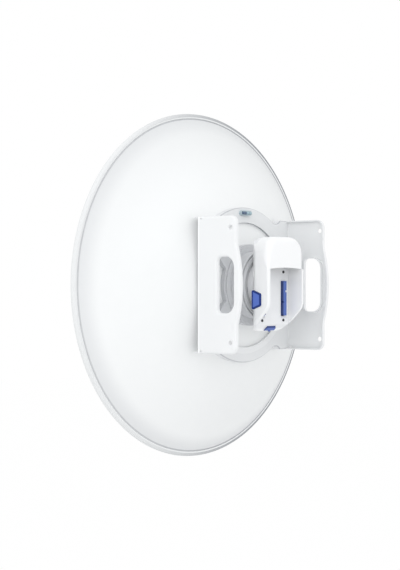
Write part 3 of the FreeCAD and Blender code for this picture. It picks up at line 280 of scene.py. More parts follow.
def spunMesh(name, outline, steps):
    # a closed body turned about Y; a third entry makes that ring a hexagon
    verts, faces, rings = [], [], []
    sixth = math.pi / 3
    for radius, level, *shape in outline:
        ring = []
        for step in range(steps if radius > 0 else 1):
            turn = 2 * math.pi * step / steps
            reach = radius
            if shape:
                reach = radius * math.cos(sixth / 2) / math.cos(turn % sixth - sixth / 2)
            ring.append(len(verts))
            verts.append((reach * math.cos(turn), level, reach * math.sin(turn)))
        rings.append(ring)
    for low, high in zip(rings, rings[1:]):
        for step in range(steps):
            after = (step + 1) % steps
            corners = [low[step % len(low)], low[after % len(low)],
                       high[after % len(high)], high[step % len(high)]]
            faces.append(list(dict.fromkeys(corners)))
    mesh = bpy.data.meshes.new(name)
    mesh.from_pydata(verts, [], [face for face in faces if len(face) > 2])
    return closeUp(mesh)


coat = {
    "peel": 420.0, "cloud": 5.0, "dust": 60.0, "dustDetail": 5.0, "dustRough": 0.7,
    "cloudShare": 0.7, "dustShare": 0.3, "edge": 0.56, "soft": 0.14, "mix": 0.5,
    "rough": 0.52, "cloudGloss": 0.1, "dustGloss": 0.05, "bump": 0.10, "depth": 0.0004,
    "shine": 0.3,
}


def powderCoat(name, color, shade, paintedLightAndDirt):
    # baked powder paint: fine orange peel, slightly uneven gloss, faint dust; the last argument
    # lays painted shade in formed edges, folds and hollows over it, and a painted highlight on the
    # wing bends
    mat = Mat(name)
    peel = mat.noise(coat["peel"], detail=2.0)
    cloud = mat.noise(coat["cloud"], detail=4.0)
    dust = mat.noise(coat["dust"], coat["dustDetail"], coat["dustRough"])
    patches = cloud * coat["cloudShare"] + dust * coat["dustShare"]
    tone = mat.blend(patches.above(coat["edge"], coat["soft"]) * coat["mix"], color, shade)
    for where, dark in paintedLightAndDirt(mat, dust):
        tone = mat.blend(where, tone, dark)
    rough = coat["rough"] + coat["cloudGloss"] * cloud + coat["dustGloss"] * dust
    return mat.finish(tone, rough, height=peel, bump=coat["bump"], depth=coat["depth"],
                      Specular_IOR_Level=coat["shine"])


# radii from the boresight, how soft each edge is, and how strongly each tone is mixed in
# the tones are painted shade; the groove's is mottled by dust
rimBands = {
    "near": 0.297, "nearSoft": 0.015, "nearMix": 0.65, "nearLess": 0.15,
    "upperShade": 0.25, "upperShadeSoft": 0.08, "upperShadeMix": 0.55, "upperShadeLevel": 0.1, "upperShadeLevelSoft": 0.2,
    "groove": 0.3150, "grooveHalf": 0.0014,
    "grooveMix": 0.35, "grooveSide": 0.4, "grooveDust": 0.3,
    "outer": 0.3186, "outerMix": 0.14, "outerSide": 0.81, "soft": 0.0006, "side": 0.22,
    "nearTone": (0.66, 0.67, 0.68), "upperShadeTone": (0.70, 0.71, 0.715),
    "grooveTone": (0.36, 0.37, 0.39), "outerTone": (0.26, 0.27, 0.29),
}
# bent, straight and back are levels along Y, lobe a radius, bend a distance to the side
# the dark tones are painted shade, the lightest a painted highlight on the bend into each wing
foldBands = {
    "bent": 0.0762, "straight": 0.0784, "back": 0.0738, "lobe": 0.127, "bend": 0.1266,
    "soft": 0.0004, "upper": 0.0, "upperSoft": 0.03, "mix": 0.75, "dustMix": 0.25,
    "hole": (0.42, 0.43, 0.45), "line": (0.46, 0.47, 0.49), "skirt": (0.72, 0.73, 0.74),
    "bendHighlight": (0.92, 0.925, 0.93), "bendHighlightMix": 0.9,
}


def rimShadeAndDust(mat, dust):
    # the rolled rim: painted shade in the bead's groove, mottled by dust, and on its outer side,
    # worst towards +X, away from the light; faint painted shade on the skin inside it and over the
    # top
    spot = mat.node("ShaderNodeSeparateXYZ", {}, mat.place)
    z = spot.out(2)
    across = spot * spot + z * z
    radius = across.math("SQRT", across)
    soft = rimBands["soft"]
    skin = 1 - radius.above(rimBands["groove"], soft)
    near = radius.above(rimBands["near"], rimBands["nearSoft"]) * skin
    groove = 1 - (radius - rimBands["groove"]).size().above(rimBands["grooveHalf"], soft)
    outer = radius.above(rimBands["outer"], soft)
    side = spot.above(0.0, rimBands["side"])
    upperShade = radius.above(rimBands["upperShade"], rimBands["upperShadeSoft"])
    upperShade = upperShade * z.above(rimBands["upperShadeLevel"], rimBands["upperShadeLevelSoft"]) * skin
    shadeAndDust = rimBands["grooveMix"] + rimBands["grooveSide"] * side + rimBands["grooveDust"] * dust
    return [(upperShade * rimBands["upperShadeMix"], rimBands["upperShadeTone"]),
            (near * (rimBands["nearMix"] - rimBands["nearLess"] * side), rimBands["nearTone"]),
            (groove * shadeAndDust, rimBands["grooveTone"]),
            (outer * (rimBands["outerMix"] + rimBands["outerSide"] * side), rimBands["outerTone"])]


def foldShadeDustAndHighlight(mat, dust):
    # the plate's forward folds: painted shade, mottled by dust, in the upper half of the hole's
    # flange and the bend round the lobes, little on the skirt; a painted highlight on the bend
    # into each wing
    spot = mat.node("ShaderNodeSeparateXYZ", {}, mat.place)
    y, z = spot.out(1), spot.out(2)
    across = spot * spot + z * z
    lobe = across.math("SQRT", across).above(foldBands["lobe"], foldBands["soft"])
    front = y.above(foldBands["bent"], foldBands["soft"])
    straight = y.above(foldBands["straight"], foldBands["soft"])
    skirt = mat.blend(straight, foldBands["line"], foldBands["skirt"])
    bend = spot.size().above(foldBands["bend"], foldBands["soft"])
    bend = bend * y.above(foldBands["back"], foldBands["soft"])
    shown = lobe.math("MAXIMUM", lobe, z.above(foldBands["upper"], foldBands["upperSoft"]))
    shadeAndDust = foldBands["mix"] + foldBands["dustMix"] * dust
    return [(front * shown * shadeAndDust, mat.blend(lobe, foldBands["hole"], skirt)),
            (bend * foldBands["bendHighlightMix"], foldBands["bendHighlight"])]


# floor is a level along Y, wall a distance to the side, taper their sum on the shell's sides
# its tones are painted shade; the stain is dust mottling inside it
bayShadeAndDust = {
    "floor": 0.0092, "wall": 0.0455, "taper": 0.0630, "soft": 0.0004,
    "floorTone": (0.79, 0.80, 0.815), "floorMix": 0.8, "floorDust": 0.2,
    "collarTone": (0.665, 0.67, 0.685), "stain": (0.60, 0.605, 0.62), "stainMix": 0.4,
}


def floorShade(mat, dust):
    # painted shade on the bay's floor, between the side walls, mottled by dust
    spot = mat.node("ShaderNodeSeparateXYZ", {}, mat.place)
    walls = spot.size().above(bayShadeAndDust["wall"], bayShadeAndDust["soft"])
    floor = spot.out(1).above(bayShadeAndDust["floor"], bayShadeAndDust["soft"]) * (1 - walls)
    shadeAndDust = bayShadeAndDust["floorMix"] + bayShadeAndDust["floorDust"] * dust
    return [(floor * shadeAndDust, bayShadeAndDust["floorTone"])]


def collarShade(mat, dust):
    # painted shade on the round collar, where it stands out of the 45 degree taper of the shell's
    # sides, with dust stains in it
    spot = mat.node("ShaderNodeSeparateXYZ", {}, mat.place)
    out = (spot.size() + spot.out(1)).above(bayShadeAndDust["taper"], bayShadeAndDust["soft"])
    return [(out, bayShadeAndDust["collarTone"]), (out * dust * bayShadeAndDust["stainMix"], bayShadeAndDust["stain"])]


moulding = {
    "flow": 9.0, "edge": 0.5, "soft": 0.25, "mix": 0.6, "flowGloss": 0.08,
    "grain": 900.0, "grainGloss": 0.04, "bump": 0.05, "depth": 0.0002,
    "whiteShine": 0.35, "blueShine": 0.3, "buttonGloss": 0.34, "blueGloss": 0.36,
}


def mouldedTone(mat, color, shade):
    # what the moulded plastics share: an almost even tone, its trace of flow and a fine grain
    flow = mat.noise(moulding["flow"], detail=3.0)
    grain = mat.noise(moulding["grain"], detail=2.0)
    mask = flow.above(moulding["edge"], moulding["soft"]) * moulding["mix"]
    return mat.blend(mask, color, shade), flow, grain


def mouldedFinish(mat, tone, rough, grain, shine):
    return mat.finish(tone, rough, height=grain, bump=moulding["bump"], depth=moulding["depth"],
                      Specular_IOR_Level=shine)


def mouldedPlastic(name, color, shade, gloss, paintedLightAndDirt=None):
    # injection-moulded plastic; the last argument, if given, lays painted shade mottled by dust on
    # it
    mat = Mat(name)
    tone, flow, grain = mouldedTone(mat, color, shade)
    if paintedLightAndDirt:
        dust = mat.noise(coat["dust"], coat["dustDetail"], coat["dustRough"])
        for where, dark in paintedLightAndDirt(mat, dust):
            tone = mat.blend(where, tone, dark)
    rough = gloss + moulding["flowGloss"] * flow + moulding["grainGloss"] * grain
    return mouldedFinish(mat, tone, rough, grain, moulding["whiteShine"])


casting = {
    "peel": 260.0, "cloud": 18.0, "edge": 0.55, "soft": 0.2, "mix": 0.6,
    "rough": 0.5, "cloudGloss": 0.12, "bump": 0.14, "depth": 0.0005, "shine": 0.3,
}


def castPaint(name, color, shade):
    # painted die casting: softer peel and a little dirt in the low spots
    mat = Mat(name)
    peel = mat.noise(casting["peel"], detail=3.0)
    cloud = mat.noise(casting["cloud"], detail=4.0)
    mask = cloud.above(casting["edge"], casting["soft"]) * casting["mix"]
    rough = casting["rough"] + casting["cloudGloss"] * cloud
    return mat.finish(mat.blend(mask, color, shade), rough, height=peel, bump=casting["bump"],
                      depth=casting["depth"], Specular_IOR_Level=casting["shine"])


turned = {
    "lines": 700.0, "stain": 90.0, "edge": 0.55, "soft": 0.15, "mix": 0.7,
    "lineGloss": 0.12, "stainGloss": 0.06, "bump": 0.08, "depth": 0.0002,
}


def metal(name, color, shade, rough=0.3, stretch=(1.0, 1.0, 1.0)):
    # bare or plated metal with fine turning lines
    mat = Mat(name)
    lines = mat.noise(turned["lines"], detail=3.0, where=mat.spread(stretch))
    stain = mat.noise(turned["stain"], detail=4.0)
    mask = stain.above(turned["edge"], turned["soft"]) * turned["mix"]
    rough = rough + turned["lineGloss"] * lines + turned["stainGloss"] * stain
    return mat.finish(mat.blend(mask, color, shade), rough, 1.0, height=lines,
                      bump=turned["bump"], depth=turned["depth"])


softLooks = {
    "grain": 800.0, "bloom": 40.0, "edge": 0.55, "soft": 0.2, "rough": 0.62, "grainGloss": 0.1,
    "bump": 0.12, "depth": 0.0002,
}


def rubber(name, color, shade):
    # rubber or silicone: matt, with a fine grain and a faint bloom
    mat = Mat(name)
    grain = mat.noise(softLooks["grain"], detail=3.0)
    bloom = mat.noise(softLooks["bloom"], detail=4.0)
    tone = mat.blend(bloom.above(softLooks["edge"], softLooks["soft"]), color, shade)
    rough = softLooks["rough"] + softLooks["grainGloss"] * grain
    return mat.finish(tone, rough, height=grain, bump=softLooks["bump"], depth=softLooks["depth"])


buttonPaint = {
    "face": (0.112, 0.195, 0.62), "flow": (0.098, 0.172, 0.57), "border": (0.012, 0.038, 0.22),
    "near": 0.015, "far": -0.006, "top": -0.008, "bottom": -0.045,      # the button's outline
    "taper": 8.0 / 21.0, "width": 0.0034, "soft": 0.0004,
}


def borderedPlastic(name, sizes):
    # blue plastic whose button face has a darker moulded border
    mat = Mat(name)
    spot = mat.node("ShaderNodeSeparateXYZ", {}, mat.place)
    y, z = spot.out(1), spot.out(2)
    slant = (sizes["near"] - y) * sizes["taper"]
    inside = (sizes["near"] - y).least(y - sizes["far"])
    inside = inside.least(sizes["top"] - slant - z).least(z - sizes["bottom"] - slant)
    border = 1 - inside.above(sizes["width"], sizes["soft"])
    base, flow, grain = mouldedTone(mat, sizes["face"], sizes["flow"])
    rough = moulding["buttonGloss"] + moulding["flowGloss"] * flow
    return mouldedFinish(mat, mat.blend(border, base, sizes["border"]), rough, grain,
                         moulding["whiteShine"])


# where the painted shade strips end on the rails and on the tab
strips = {
    "rail": 0.0268,             # inner edge of a rail, across from the middle
    "tab": 0.0782,              # top of the tab, below the middle
    "soft": 0.0003, "upright": 0.6, "uprightSoft": 0.2,
}


def steppedPlastic(name, color, shade, side, axis, edge):
    # blue plastic with painted shade on its upright sides and on the strip nearer the middle than
    # edge
    mat = Mat(name)
    normal = mat.node("ShaderNodeNewGeometry", {}).out("Normal")
    facing = mat.node("ShaderNodeSeparateXYZ", {}, normal)
    spot = mat.node("ShaderNodeSeparateXYZ", {}, mat.place)
    upright = facing.size().above(strips["upright"], strips["uprightSoft"])
    strip = 1 - spot.out(axis).size().above(edge, strips["soft"])
    dark = upright.math("MAXIMUM", upright, strip)
    base, flow, grain = mouldedTone(mat, color, shade)
    rough = moulding["blueGloss"] + moulding["flowGloss"] * flow
    return mouldedFinish(mat, mat.blend(dark, base, side), rough, grain, moulding["blueShine"])


vialLooks = {
    "liquid": (0.06, 0.11, 0.20), "bubble": (0.30, 0.44, 0.50), "mark": (0.02, 0.03, 0.04),
    "split": -0.002, "splitSoft": 0.0016, "gauge": 0.006, "markHalf": 0.0004,
    "markSoft": 0.0002, "markMix": 0.8, "grain": 300.0, "rough": 0.12, "grainGloss": 0.1,
    "shine": 0.5, "coat": 0.6, "coatRough": 0.08,
}


def vialPaint(name, looks):
    # tinted spirit with the bubble at the +X end and two thin gauge lines
    mat = Mat(name)
    spot = mat.node("ShaderNodeSeparateXYZ", {}, mat.place)
    low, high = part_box("level_vial")
    x = spot - (low[0] + high[0]) / 2
    tone = mat.blend(x.above(looks["split"], looks["splitSoft"]), looks["liquid"], looks["bubble"])
    line = 1 - (x.size() - looks["gauge"]).size().above(looks["markHalf"], looks["markSoft"])
    grain = mat.noise(looks["grain"], detail=2.0)
    return mat.finish(mat.blend(line * looks["markMix"], tone, looks["mark"]),
                      looks["rough"] + looks["grainGloss"] * grain,
                      Specular_IOR_Level=looks["shine"], Coat_Weight=looks["coat"],
                      Coat_Roughness=looks["coatRough"])


white, cream = (0.885, 0.89, 0.895), (0.862, 0.87, 0.878)
finishes = {
    # the dish and bracket coats carry painted shade, and on the wing bends a painted highlight
    "powder_coat_aluminium": powderCoat("dishPaint", (0.84, 0.85, 0.85), (0.81, 0.82, 0.822),
                                        rimShadeAndDust),
    "powder_coat_steel": powderCoat("bracketPaint", (0.81, 0.82, 0.825), (0.78, 0.79, 0.797),
                                    foldShadeDustAndHighlight),
    "cast_white": castPaint("castingPaint", (0.63, 0.64, 0.655), (0.57, 0.58, 0.60)),
    "steel": metal("zincSteel", (0.62, 0.62, 0.60), (0.52, 0.52, 0.50)),
    "bare_aluminium": metal("bareAluminium", (0.78, 0.78, 0.79), (0.70, 0.70, 0.71), 0.34,
                            (1.0, 0.1, 1.0)),
    "board": mouldedPlastic("boardGreen", (0.02, 0.10, 0.045), (0.03, 0.13, 0.06), 0.4),
    "brass": metal("brass", (0.80, 0.60, 0.27), (0.68, 0.48, 0.19), 0.28),
    "white_plastic": mouldedPlastic("radomeWhite", (0.80, 0.805, 0.795), (0.77, 0.775, 0.76),
                                    0.42),
    "black_rubber": rubber("blackRubber", (0.018, 0.018, 0.02), (0.03, 0.03, 0.032)),
    "grey_silicone": rubber("greySilicone", (0.42, 0.43, 0.44), (0.46, 0.47, 0.48)),
    "white_gloss": mouldedPlastic("bayWhite", white, cream, 0.30),
    # the housing and the shell carry painted shade on the bay floor and on the collar
    "housingWhite": mouldedPlastic("housingWhite", white, cream, 0.30, floorShade),
    "shellWhite": mouldedPlastic("shellWhite", white, cream, 0.30, collarShade),
    "grey_plastic": mouldedPlastic("greyPlastic", (0.44, 0.53, 0.57), (0.40, 0.48, 0.53), 0.4),
    "vial_liquid": vialPaint("vialSpirit", vialLooks),
    "buttonBlue": borderedPlastic("buttonBlue", buttonPaint),
    # the third colour of each blue is its painted shade
    "railBlue": steppedPlastic("railBlue", (0.090, 0.155, 0.46), (0.080, 0.138, 0.42),
                               (0.025, 0.045, 0.16), 0, strips["rail"]),
    "tabBlue": steppedPlastic("tabBlue", (0.105, 0.170, 0.47), (0.092, 0.150, 0.43),
                              (0.035, 0.060, 0.22), 2, strips["tab"]),
    "blackScrew": metal("blackScrew", (0.10, 0.10, 0.105), (0.05, 0.05, 0.055), 0.42),
}
# nodes whose finish is more particular than their material slot
finishOf = {
    "bay_housing": "housingWhite", "front_shell": "shellWhite", "bay_screws": "blackScrew",
    "left_latch": "buttonBlue", "right_latch": "buttonBlue",
    "left_rail": "railBlue", "right_rail": "railBlue", "lock_slider": "tabBlue",
}
slotOf = {item["node"]: item["material_slot"] for item in frame["record"]["subparts"]}


def coatNode(name):
    # gives a CAD node its finish
    item = nodes[name]
    item.data.materials.clear()
    item.data.materials.append(finishes[finishOf.get(name, slotOf[name])])


def addSky():
    # sloping sky for the light; plain white wherever it is seen, mirrored or looked through
    world = bpy.data.worlds.new("studio")
    world.use_nodes = True
    sky = Nodes()
    sky.tree = world.node_tree
    sky.tree.nodes.remove(sky.tree.nodes["Background"])
    facing = sky.node("ShaderNodeVectorMath", {"operation": "DOT_PRODUCT"},
                      sky.node("ShaderNodeTexCoord", {}),
                      Vector(light["skyToward"]).normalized(), out=1)
    lit = sky.node("ShaderNodeBackground", {}, light["skyColor"],
                   light["skyStrength"] + light["skySlope"] * facing)
    plain = sky.node("ShaderNodeBackground", {}, (1.0, 1.0, 1.0), 1.0)
    path = sky.node("ShaderNodeLightPath", {})
    seen = path.math("MAXIMUM", path, path.out("Is Glossy Ray"))
    seen = path.math("MAXIMUM", seen, path.out("Is Transmission Ray"))
    mixed = sky.node("ShaderNodeMixShader", {}, seen, lit, plain)
    sky.tree.links.new(mixed.socket, sky.tree.nodes["World Output"].inputs["Surface"])
    bpy.context.scene.world = world
    bpy.context.scene.view_settings.view_transform = "Standard"


ground = {
    "level": -0.9, "half": 9.0, "glow": 0.97,       # glow is how white the camera sees it
    "tone": (0.88, 0.88, 0.88), "patch": (0.86, 0.86, 0.86), "cloud": 1.5, "mix": 0.2,
    "rough": 0.9,
}


def floorPaint():
    # pale floor, seen as almost plain white but still carrying the shadow
    mat = Mat("floorPaint")
    cloud = mat.noise(ground["cloud"], detail=2.0)
    mat.finish(mat.blend(cloud * ground["mix"], ground["tone"], ground["patch"]), ground["rough"])
    glow = mat.node("ShaderNodeEmission", {}, (1.0, 1.0, 1.0), 1.0)
    share = ground["glow"] * mat.node("ShaderNodeLightPath", {})
    lit = Val(mat, mat.shader.outputs[0])
    shown = mat.node("ShaderNodeMixShader", {}, share, lit, glow)
    mat.tree.links.new(shown.socket, mat.tree.nodes["Material Output"].inputs["Surface"])
    return mat.data


def addFloor():
    half, level = ground["half"], ground["level"]
    corners = [(-half, -half, level), (half, -half, level), (half, half, level),
               (-half, half, level)]
    mesh = bpy.data.meshes.new("floor")
    mesh.from_pydata(corners, [], [(0, 1, 2, 3)])
    addPiece("floor", mesh, floorPaint())


addCamera()
for kind in ("key", "fill", "rim"):
    addLamp(kind)
addSky()
addFloor()
print("camera, lamps and floor")

for nodeName in nodes:
    coatNode(nodeName)
print("finishes on the CAD nodes")


def stands(piece, body, node):
    # the piece takes a CAD node's place on its body
    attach(piece, body)
    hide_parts(node)
    return piece


# reflector: a paraboloid skin with a rolled rim

reflector = {
    "focalLength": 0.190, "skin": 0.002, "bore": 0.050, "bead": 0.0055,
    "rings": 40, "segments": 240, "beadSteps": 20, "sharp": 50.0, "weld": 1e-5,
}


def reflectorTree():
    tree = Tree("reflectorTree", {
        "Focal Length": "NodeSocketFloat", "Vertex": "NodeSocketFloat",
        "Bore Radius": "NodeSocketFloat", "Skin Edge": "NodeSocketFloat",
        "Skin": "NodeSocketFloat", "Rim Radius": "NodeSocketFloat",
        "Rim Level": "NodeSocketFloat", "Bead Radius": "NodeSocketFloat",
        "Rings": "NodeSocketInt", "Segments": "NodeSocketInt", "Bead Steps": "NodeSocketInt",
        "Paint": "NodeSocketMaterial"})
    grid = tree.node("GeometryNodeMeshGrid", {}, 1.0, 1.0, tree.given("Rings"),
                     tree.given("Segments"))
    spot = tree.node("ShaderNodeSeparateXYZ", {}, tree.node("GeometryNodeInputPosition", {}))
    bore = tree.given("Bore Radius")
    radius = bore + (spot + 0.5) * (tree.given("Skin Edge") - bore)
    turn = (spot.out(1) + 0.5) * (2 * math.pi)
    level = tree.given("Vertex") + radius * radius / (4 * tree.given("Focal Length"))
    place = tree.node("ShaderNodeCombineXYZ", {}, radius * turn.math("COSINE", turn), level,
                      radius * turn.math("SINE", turn))
    bowl = tree.node("GeometryNodeSetPosition", {}, Geometry=grid, Position=place)
    bowl = tree.node("GeometryNodeMergeByDistance", {}, Geometry=bowl, Distance=reflector["weld"])
    front = tree.node("GeometryNodeExtrudeMesh", {"mode": "FACES"}, Mesh=bowl,
                      Offset=(0.0, 1.0, 0.0), Offset_Scale=tree.given("Skin"), Individual=False)
    circle = tree.node("GeometryNodeCurvePrimitiveCircle", {"mode": "RADIUS"},
                       Resolution=tree.given("Segments"), Radius=tree.given("Rim Radius"))
    lift = tree.node("ShaderNodeCombineXYZ", {}, 0.0, tree.given("Rim Level"), 0.0)
    circle = tree.node("GeometryNodeTransform", {}, Geometry=circle, Translation=lift,
                       Rotation=(math.pi / 2, 0.0, 0.0))
    section = tree.node("GeometryNodeCurvePrimitiveCircle", {"mode": "RADIUS"},
                        Resolution=tree.given("Bead Steps"), Radius=tree.given("Bead Radius"))
    bead = tree.node("GeometryNodeCurveToMesh", {}, Curve=circle, Profile_Curve=section)
    joint = tree.data.nodes.new("GeometryNodeJoinGeometry")
    for part in (bowl, front, bead):
        tree.data.links.new(part.socket, joint.inputs[0])
    tree.close(Val(tree, joint.outputs[0]), tree.given("Paint"))
    return tree


def addReflector():
    low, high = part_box("reflector_shell")
    rim = high[0] - reflector["bead"]
    edge = high[0] - 2 * reflector["bead"] + reflector["skin"]
    rimLevel = high[1] - reflector["bead"]
    vertex = rimLevel - reflector["skin"] / 2 - edge ** 2 / (4 * reflector["focalLength"])
    piece = grow("dishShell", reflectorTree(), bpy.data.meshes.new("seed"), {
        "Focal Length": reflector["focalLength"], "Vertex": vertex,
        "Bore Radius": reflector["bore"], "Skin Edge": edge, "Skin": reflector["skin"],
        "Rim Radius": rim, "Rim Level": rimLevel, "Bead Radius": reflector["bead"],
        "Rings": reflector["rings"], "Segments": reflector["segments"],
        "Bead Steps": reflector["beadSteps"], "Paint": finishes["powder_coat_aluminium"]})
    closeUp(piece.data, reflector["sharp"])
    return stands(piece, "dish", "reflector_shell")


addReflector()
print("reflector")


# fasteners: each set of four stands on the corners of a rectangle

fastener = {
    "headRadius": 0.0065, "headHeight": 0.0032, "shank": 0.003, "nutHeight": 0.005, "seed": 11,
    "screwHead": 0.0026, "screwHeight": 0.0016, "screwShank": 0.0015,
    "screwStub": 0.15,          # shank under a screw that is only a head, in head heights
    "steps": 36, "screwSteps": 24,
}
boltShape = {
    "bevel": 0.22,              # rounding of the head, as a share of its height
    "shoulder": ((0.0, 2.2), (0.45, 1.0), (1.6, 0.15), (3.0, 0.0)),     # inset and drop, in bevels
    "socket": 0.5, "mouth": 1.12, "mouthDrop": 0.3, "floor": 0.45, "dip": 0.40,
    "tip": 0.8, "tipLength": 0.2,
}
nutShape = {
    "flange": 0.14, "collar": 0.93, "collarTop": 0.26, "hex": 0.88, "hexTop": 0.90,
    "crown": 0.78, "mouth": 1.12, "mouthTop": 0.94,
}


def fastenerTree():
    tree = Tree("fastenerTree", {
        "Pitch X": "NodeSocketFloat", "Pitch Z": "NodeSocketFloat", "Centre": "NodeSocketVector",
        "Seed": "NodeSocketInt", "Metal": "NodeSocketMaterial"})
    corners = tree.node("GeometryNodeMeshGrid", {}, tree.given("Pitch X"), tree.given("Pitch Z"),
                        2, 2)
    corners = tree.node("GeometryNodeTransform", {}, Geometry=corners,
                        Translation=tree.given("Centre"), Rotation=(math.pi / 2, 0.0, 0.0))
    spin = tree.node("FunctionNodeRandomValue", {"data_type": "FLOAT"}, None, None, 0.0,
                     2 * math.pi, None, None, None, None, tree.given("Seed"), out=1)
    turn = tree.node("ShaderNodeCombineXYZ", {}, 0.0, spin, 0.0)
    made = tree.node("GeometryNodeInstanceOnPoints", {}, Points=corners,
                     Instance=tree.given("Geometry"), Rotation=turn)
    tree.close(made, tree.given("Metal"))
    return tree


def boltOutline(head, height, shank, length, facing):
    # pan head with a rounded shoulder and a hexagon socket; facing is the side of the head
    shape = boltShape
    top, bevel, socket = height * facing, shape["bevel"] * height, shape["socket"] * head
    down = bevel * facing
    shoulder = [(head - inset * bevel, top - drop * down) for inset, drop in shape["shoulder"]]
    return [(0.0, -length * facing), (shank * shape["tip"], -length * facing),
            (shank, (shank * shape["tipLength"] - length) * facing), (shank, 0.0), (head, 0.0),
            *shoulder, (socket * shape["mouth"], top),
            (socket, top - shape["mouthDrop"] * down, "hex"),
            (socket, top * shape["floor"], "hex"), (0.0, top * shape["dip"])]


def nutOutline(head, height, bore):
    # flanged hexagon nut on the bolt's end
    shape = nutShape
    flat, foot = head * shape["hex"], shape["collarTop"] * height
    return [(bore, 0.0), (head, 0.0), (head, shape["flange"] * height),
            (head * shape["collar"], foot), (flat, foot, "hex"),
            (flat, shape["hexTop"] * height, "hex"), (head * shape["crown"], height),
            (bore * shape["mouth"], height), (bore, shape["mouthTop"] * height), (bore, 0.0)]


def addFasteners(name, node, outline, seat, reach, steps, metalName="steel"):
    # seat is the level that the heads or nuts stand on; reach their radius
    low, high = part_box(node)
    pitch = [high[i] - low[i] - 2 * reach for i in (0, 2)]
    centre = ((low[0] + high[0]) / 2, seat, (low[2] + high[2]) / 2)
    piece = grow(name, fasteners, spunMesh(name + "Shape", outline, steps), {
        "Pitch X": pitch[0], "Pitch Z": pitch[1], "Centre": centre, "Seed": fastener["seed"],
        "Metal": finishes[metalName]})
    return stands(piece, "dish", node)


fasteners = fastenerTree()
head, headHeight = fastener["headRadius"], fastener["headHeight"]
shank, steps = fastener["shank"], fastener["steps"]
small, smallHeight = fastener["screwHead"], fastener["screwHeight"]
smallShank, smallSteps = fastener["screwShank"], fastener["screwSteps"]
hubBox, nutBox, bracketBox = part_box("hub_bolts"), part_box("hub_nuts"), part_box("bracket_bolts")
bayBox, neckBox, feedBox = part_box("bay_screws"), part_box("neck_screws"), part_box("feed_screws")
hubSeat = hubBox[0][1] + headHeight
bracketSeat = bracketBox[1][1] - headHeight
baySeat = bayBox[0][1] + smallHeight
stub = fastener["screwStub"] * smallHeight
addFasteners("hubBolts", "hub_bolts",
             boltOutline(head, headHeight, shank, hubBox[1][1] - hubSeat, -1),
             hubSeat, head, steps)
addFasteners("hubNuts", "hub_nuts", nutOutline(head, fastener["nutHeight"], shank),
             nutBox[0][1], head, steps)
addFasteners("bracketBolts", "bracket_bolts",
             boltOutline(head, headHeight, shank, bracketSeat - bracketBox[0][1], 1),
             bracketSeat, head, steps)
addFasteners("bayScrews", "bay_screws",
             boltOutline(small, smallHeight, smallShank, bayBox[1][1] - baySeat, -1),
             baySeat, small, smallSteps, "blackScrew")
addFasteners("neckScrews", "neck_screws",
             boltOutline(small, smallHeight, smallShank, stub, -1),
             neckBox[1][1], small, smallSteps)
addFasteners("feedScrews", "feed_screws",
             boltOutline(small, smallHeight, smallShank, stub, 1),
             feedBox[0][1], small, smallSteps)
print("fasteners")


# level: a capsule lying across the clip

vial = {"rounding": 0.0016, "steps": 32, "bendSteps": 5}


def addVial():
    low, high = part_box("level_vial")
    radius = (high[2] - low[2]) / 2
    half = (high[0] - low[0]) / 2
    bend, bendSteps = vial["rounding"], vial["bendSteps"]
    outline = [(0.0, -half), (radius - bend, -half)]
    for step in range(1, bendSteps + 1):
        turn = math.pi / 2 * step / bendSteps
        outline.append((radius - bend + bend * math.sin(turn),
                        -half + bend - bend * math.cos(turn)))
    outline += [(r, -level) for r, level in reversed(outline)]
    mesh = spunMesh("levelVial", outline, vial["steps"])
    middle = Vector([(a + b) / 2 for a, b in zip(low, high)])
    mesh.transform(Matrix.Translation(middle) @ Matrix.Rotation(math.pi / 2, 4, "Z"))
    piece = addPiece("levelVial", closeUp(mesh), finishes["vial_liquid"])
    return stands(piece, "dish", "level_vial")


addVial()
print("level")


# radome: a soft-edged cap over the sub-reflector

cap = {
    "wall": 0.002, "collar": 0.012, "collarWall": 0.0036, "tube": 0.024, "fit": 0.00005,
    "round": 0.006, "bevel": 0.0006, "arcSteps": 8, "segments": 96,
}


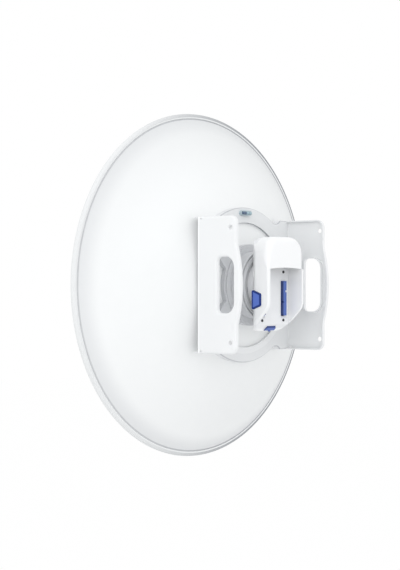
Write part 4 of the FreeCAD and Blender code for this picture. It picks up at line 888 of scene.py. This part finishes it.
def addRadome():
    low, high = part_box("feed_radome")
    radius, front, collar = high[0], high[1], low[1]
    back = collar + cap["collar"]
    wall, bend, bevel = cap["wall"], cap["round"], cap["bevel"]
    bore, neckRadius = cap["tube"] + cap["fit"], cap["tube"] + cap["collarWall"]
    arc = [math.pi / 2 * step / cap["arcSteps"] for step in range(cap["arcSteps"] + 1)]
    outline = [(bore, collar), (neckRadius - bevel, collar), (neckRadius, collar + bevel),
               (neckRadius, back - wall / 2)]
    centre = radius - bend
    outline += [(centre + bend * math.sin(a), back + bend - bend * math.cos(a)) for a in arc]
    outline += [(centre + bend * math.cos(a), front - bend + bend * math.sin(a)) for a in arc]
    outline += [(0.0, front), (0.0, front - wall)]
    inner = bend - wall / 2
    centre = radius - wall - inner
    innerFront, innerBack = front - wall - inner, back + wall + inner
    outline += [(centre + inner * math.sin(a), innerFront + inner * math.cos(a)) for a in arc]
    outline += [(centre + inner * math.cos(a), innerBack - inner * math.sin(a)) for a in arc]
    outline += [(bore, back + wall), (bore, collar)]
    mesh = spunMesh("feedCap", outline, cap["segments"])
    return stands(addPiece("feedCap", mesh, finishes["white_plastic"]), "dish", "feed_radome")


addRadome()
print("radome")


# lock spring: a steel coil wound in the CAD spring's box, in the CAD spring's place

coil = {
    "turns": 8.0, "wire": 0.00045, "steps": 24, "sectionSteps": 12, "sharp": 50.0,
    "settled": 0.0008,          # length at each end
}


def coilTree():
    tree = Tree("coilTree", {
        "Turns": "NodeSocketFloat", "Radius": "NodeSocketFloat", "Wire": "NodeSocketFloat",
        "Height": "NodeSocketFloat", "Base": "NodeSocketVector", "Steps": "NodeSocketInt",
        "Section Steps": "NodeSocketInt", "Metal": "NodeSocketMaterial"})
    radius = tree.given("Radius")
    line = tree.node("GeometryNodeCurveSpiral", {}, tree.given("Steps"), tree.given("Turns"),
                     radius, radius, tree.given("Height"))
    section = tree.node("GeometryNodeCurvePrimitiveCircle", {"mode": "RADIUS"},
                        Resolution=tree.given("Section Steps"), Radius=tree.given("Wire"))
    wire = tree.node("GeometryNodeCurveToMesh", {}, Curve=line, Profile_Curve=section,
                     Fill_Caps=True)
    wire = tree.node("GeometryNodeTransform", {}, Geometry=wire, Translation=tree.given("Base"))
    tree.close(wire, tree.given("Metal"))
    return tree


def addCoil():
    low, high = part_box("lock_spring")
    middle = [(a + b) / 2 for a, b in zip(low, high)]
    wire, settled = coil["wire"], coil["settled"]
    piece = grow("lockCoil", coilTree(), bpy.data.meshes.new("coilSeed"), {
        "Turns": coil["turns"], "Radius": (high[0] - low[0]) / 2 - wire, "Wire": wire,
        "Height": high[2] - low[2] - 2 * wire, "Base": (middle[0], middle[1], low[2] + wire),
        "Steps": coil["steps"], "Section Steps": coil["sectionSteps"], "Metal": finishes["steel"]})
    closeUp(piece.data, coil["sharp"])
    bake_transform(piece)
    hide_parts("lock_spring")


addCoil()
print("lock spring")


def plain(box):
    return [[round(value, 6) for value in corner] for corner in box]
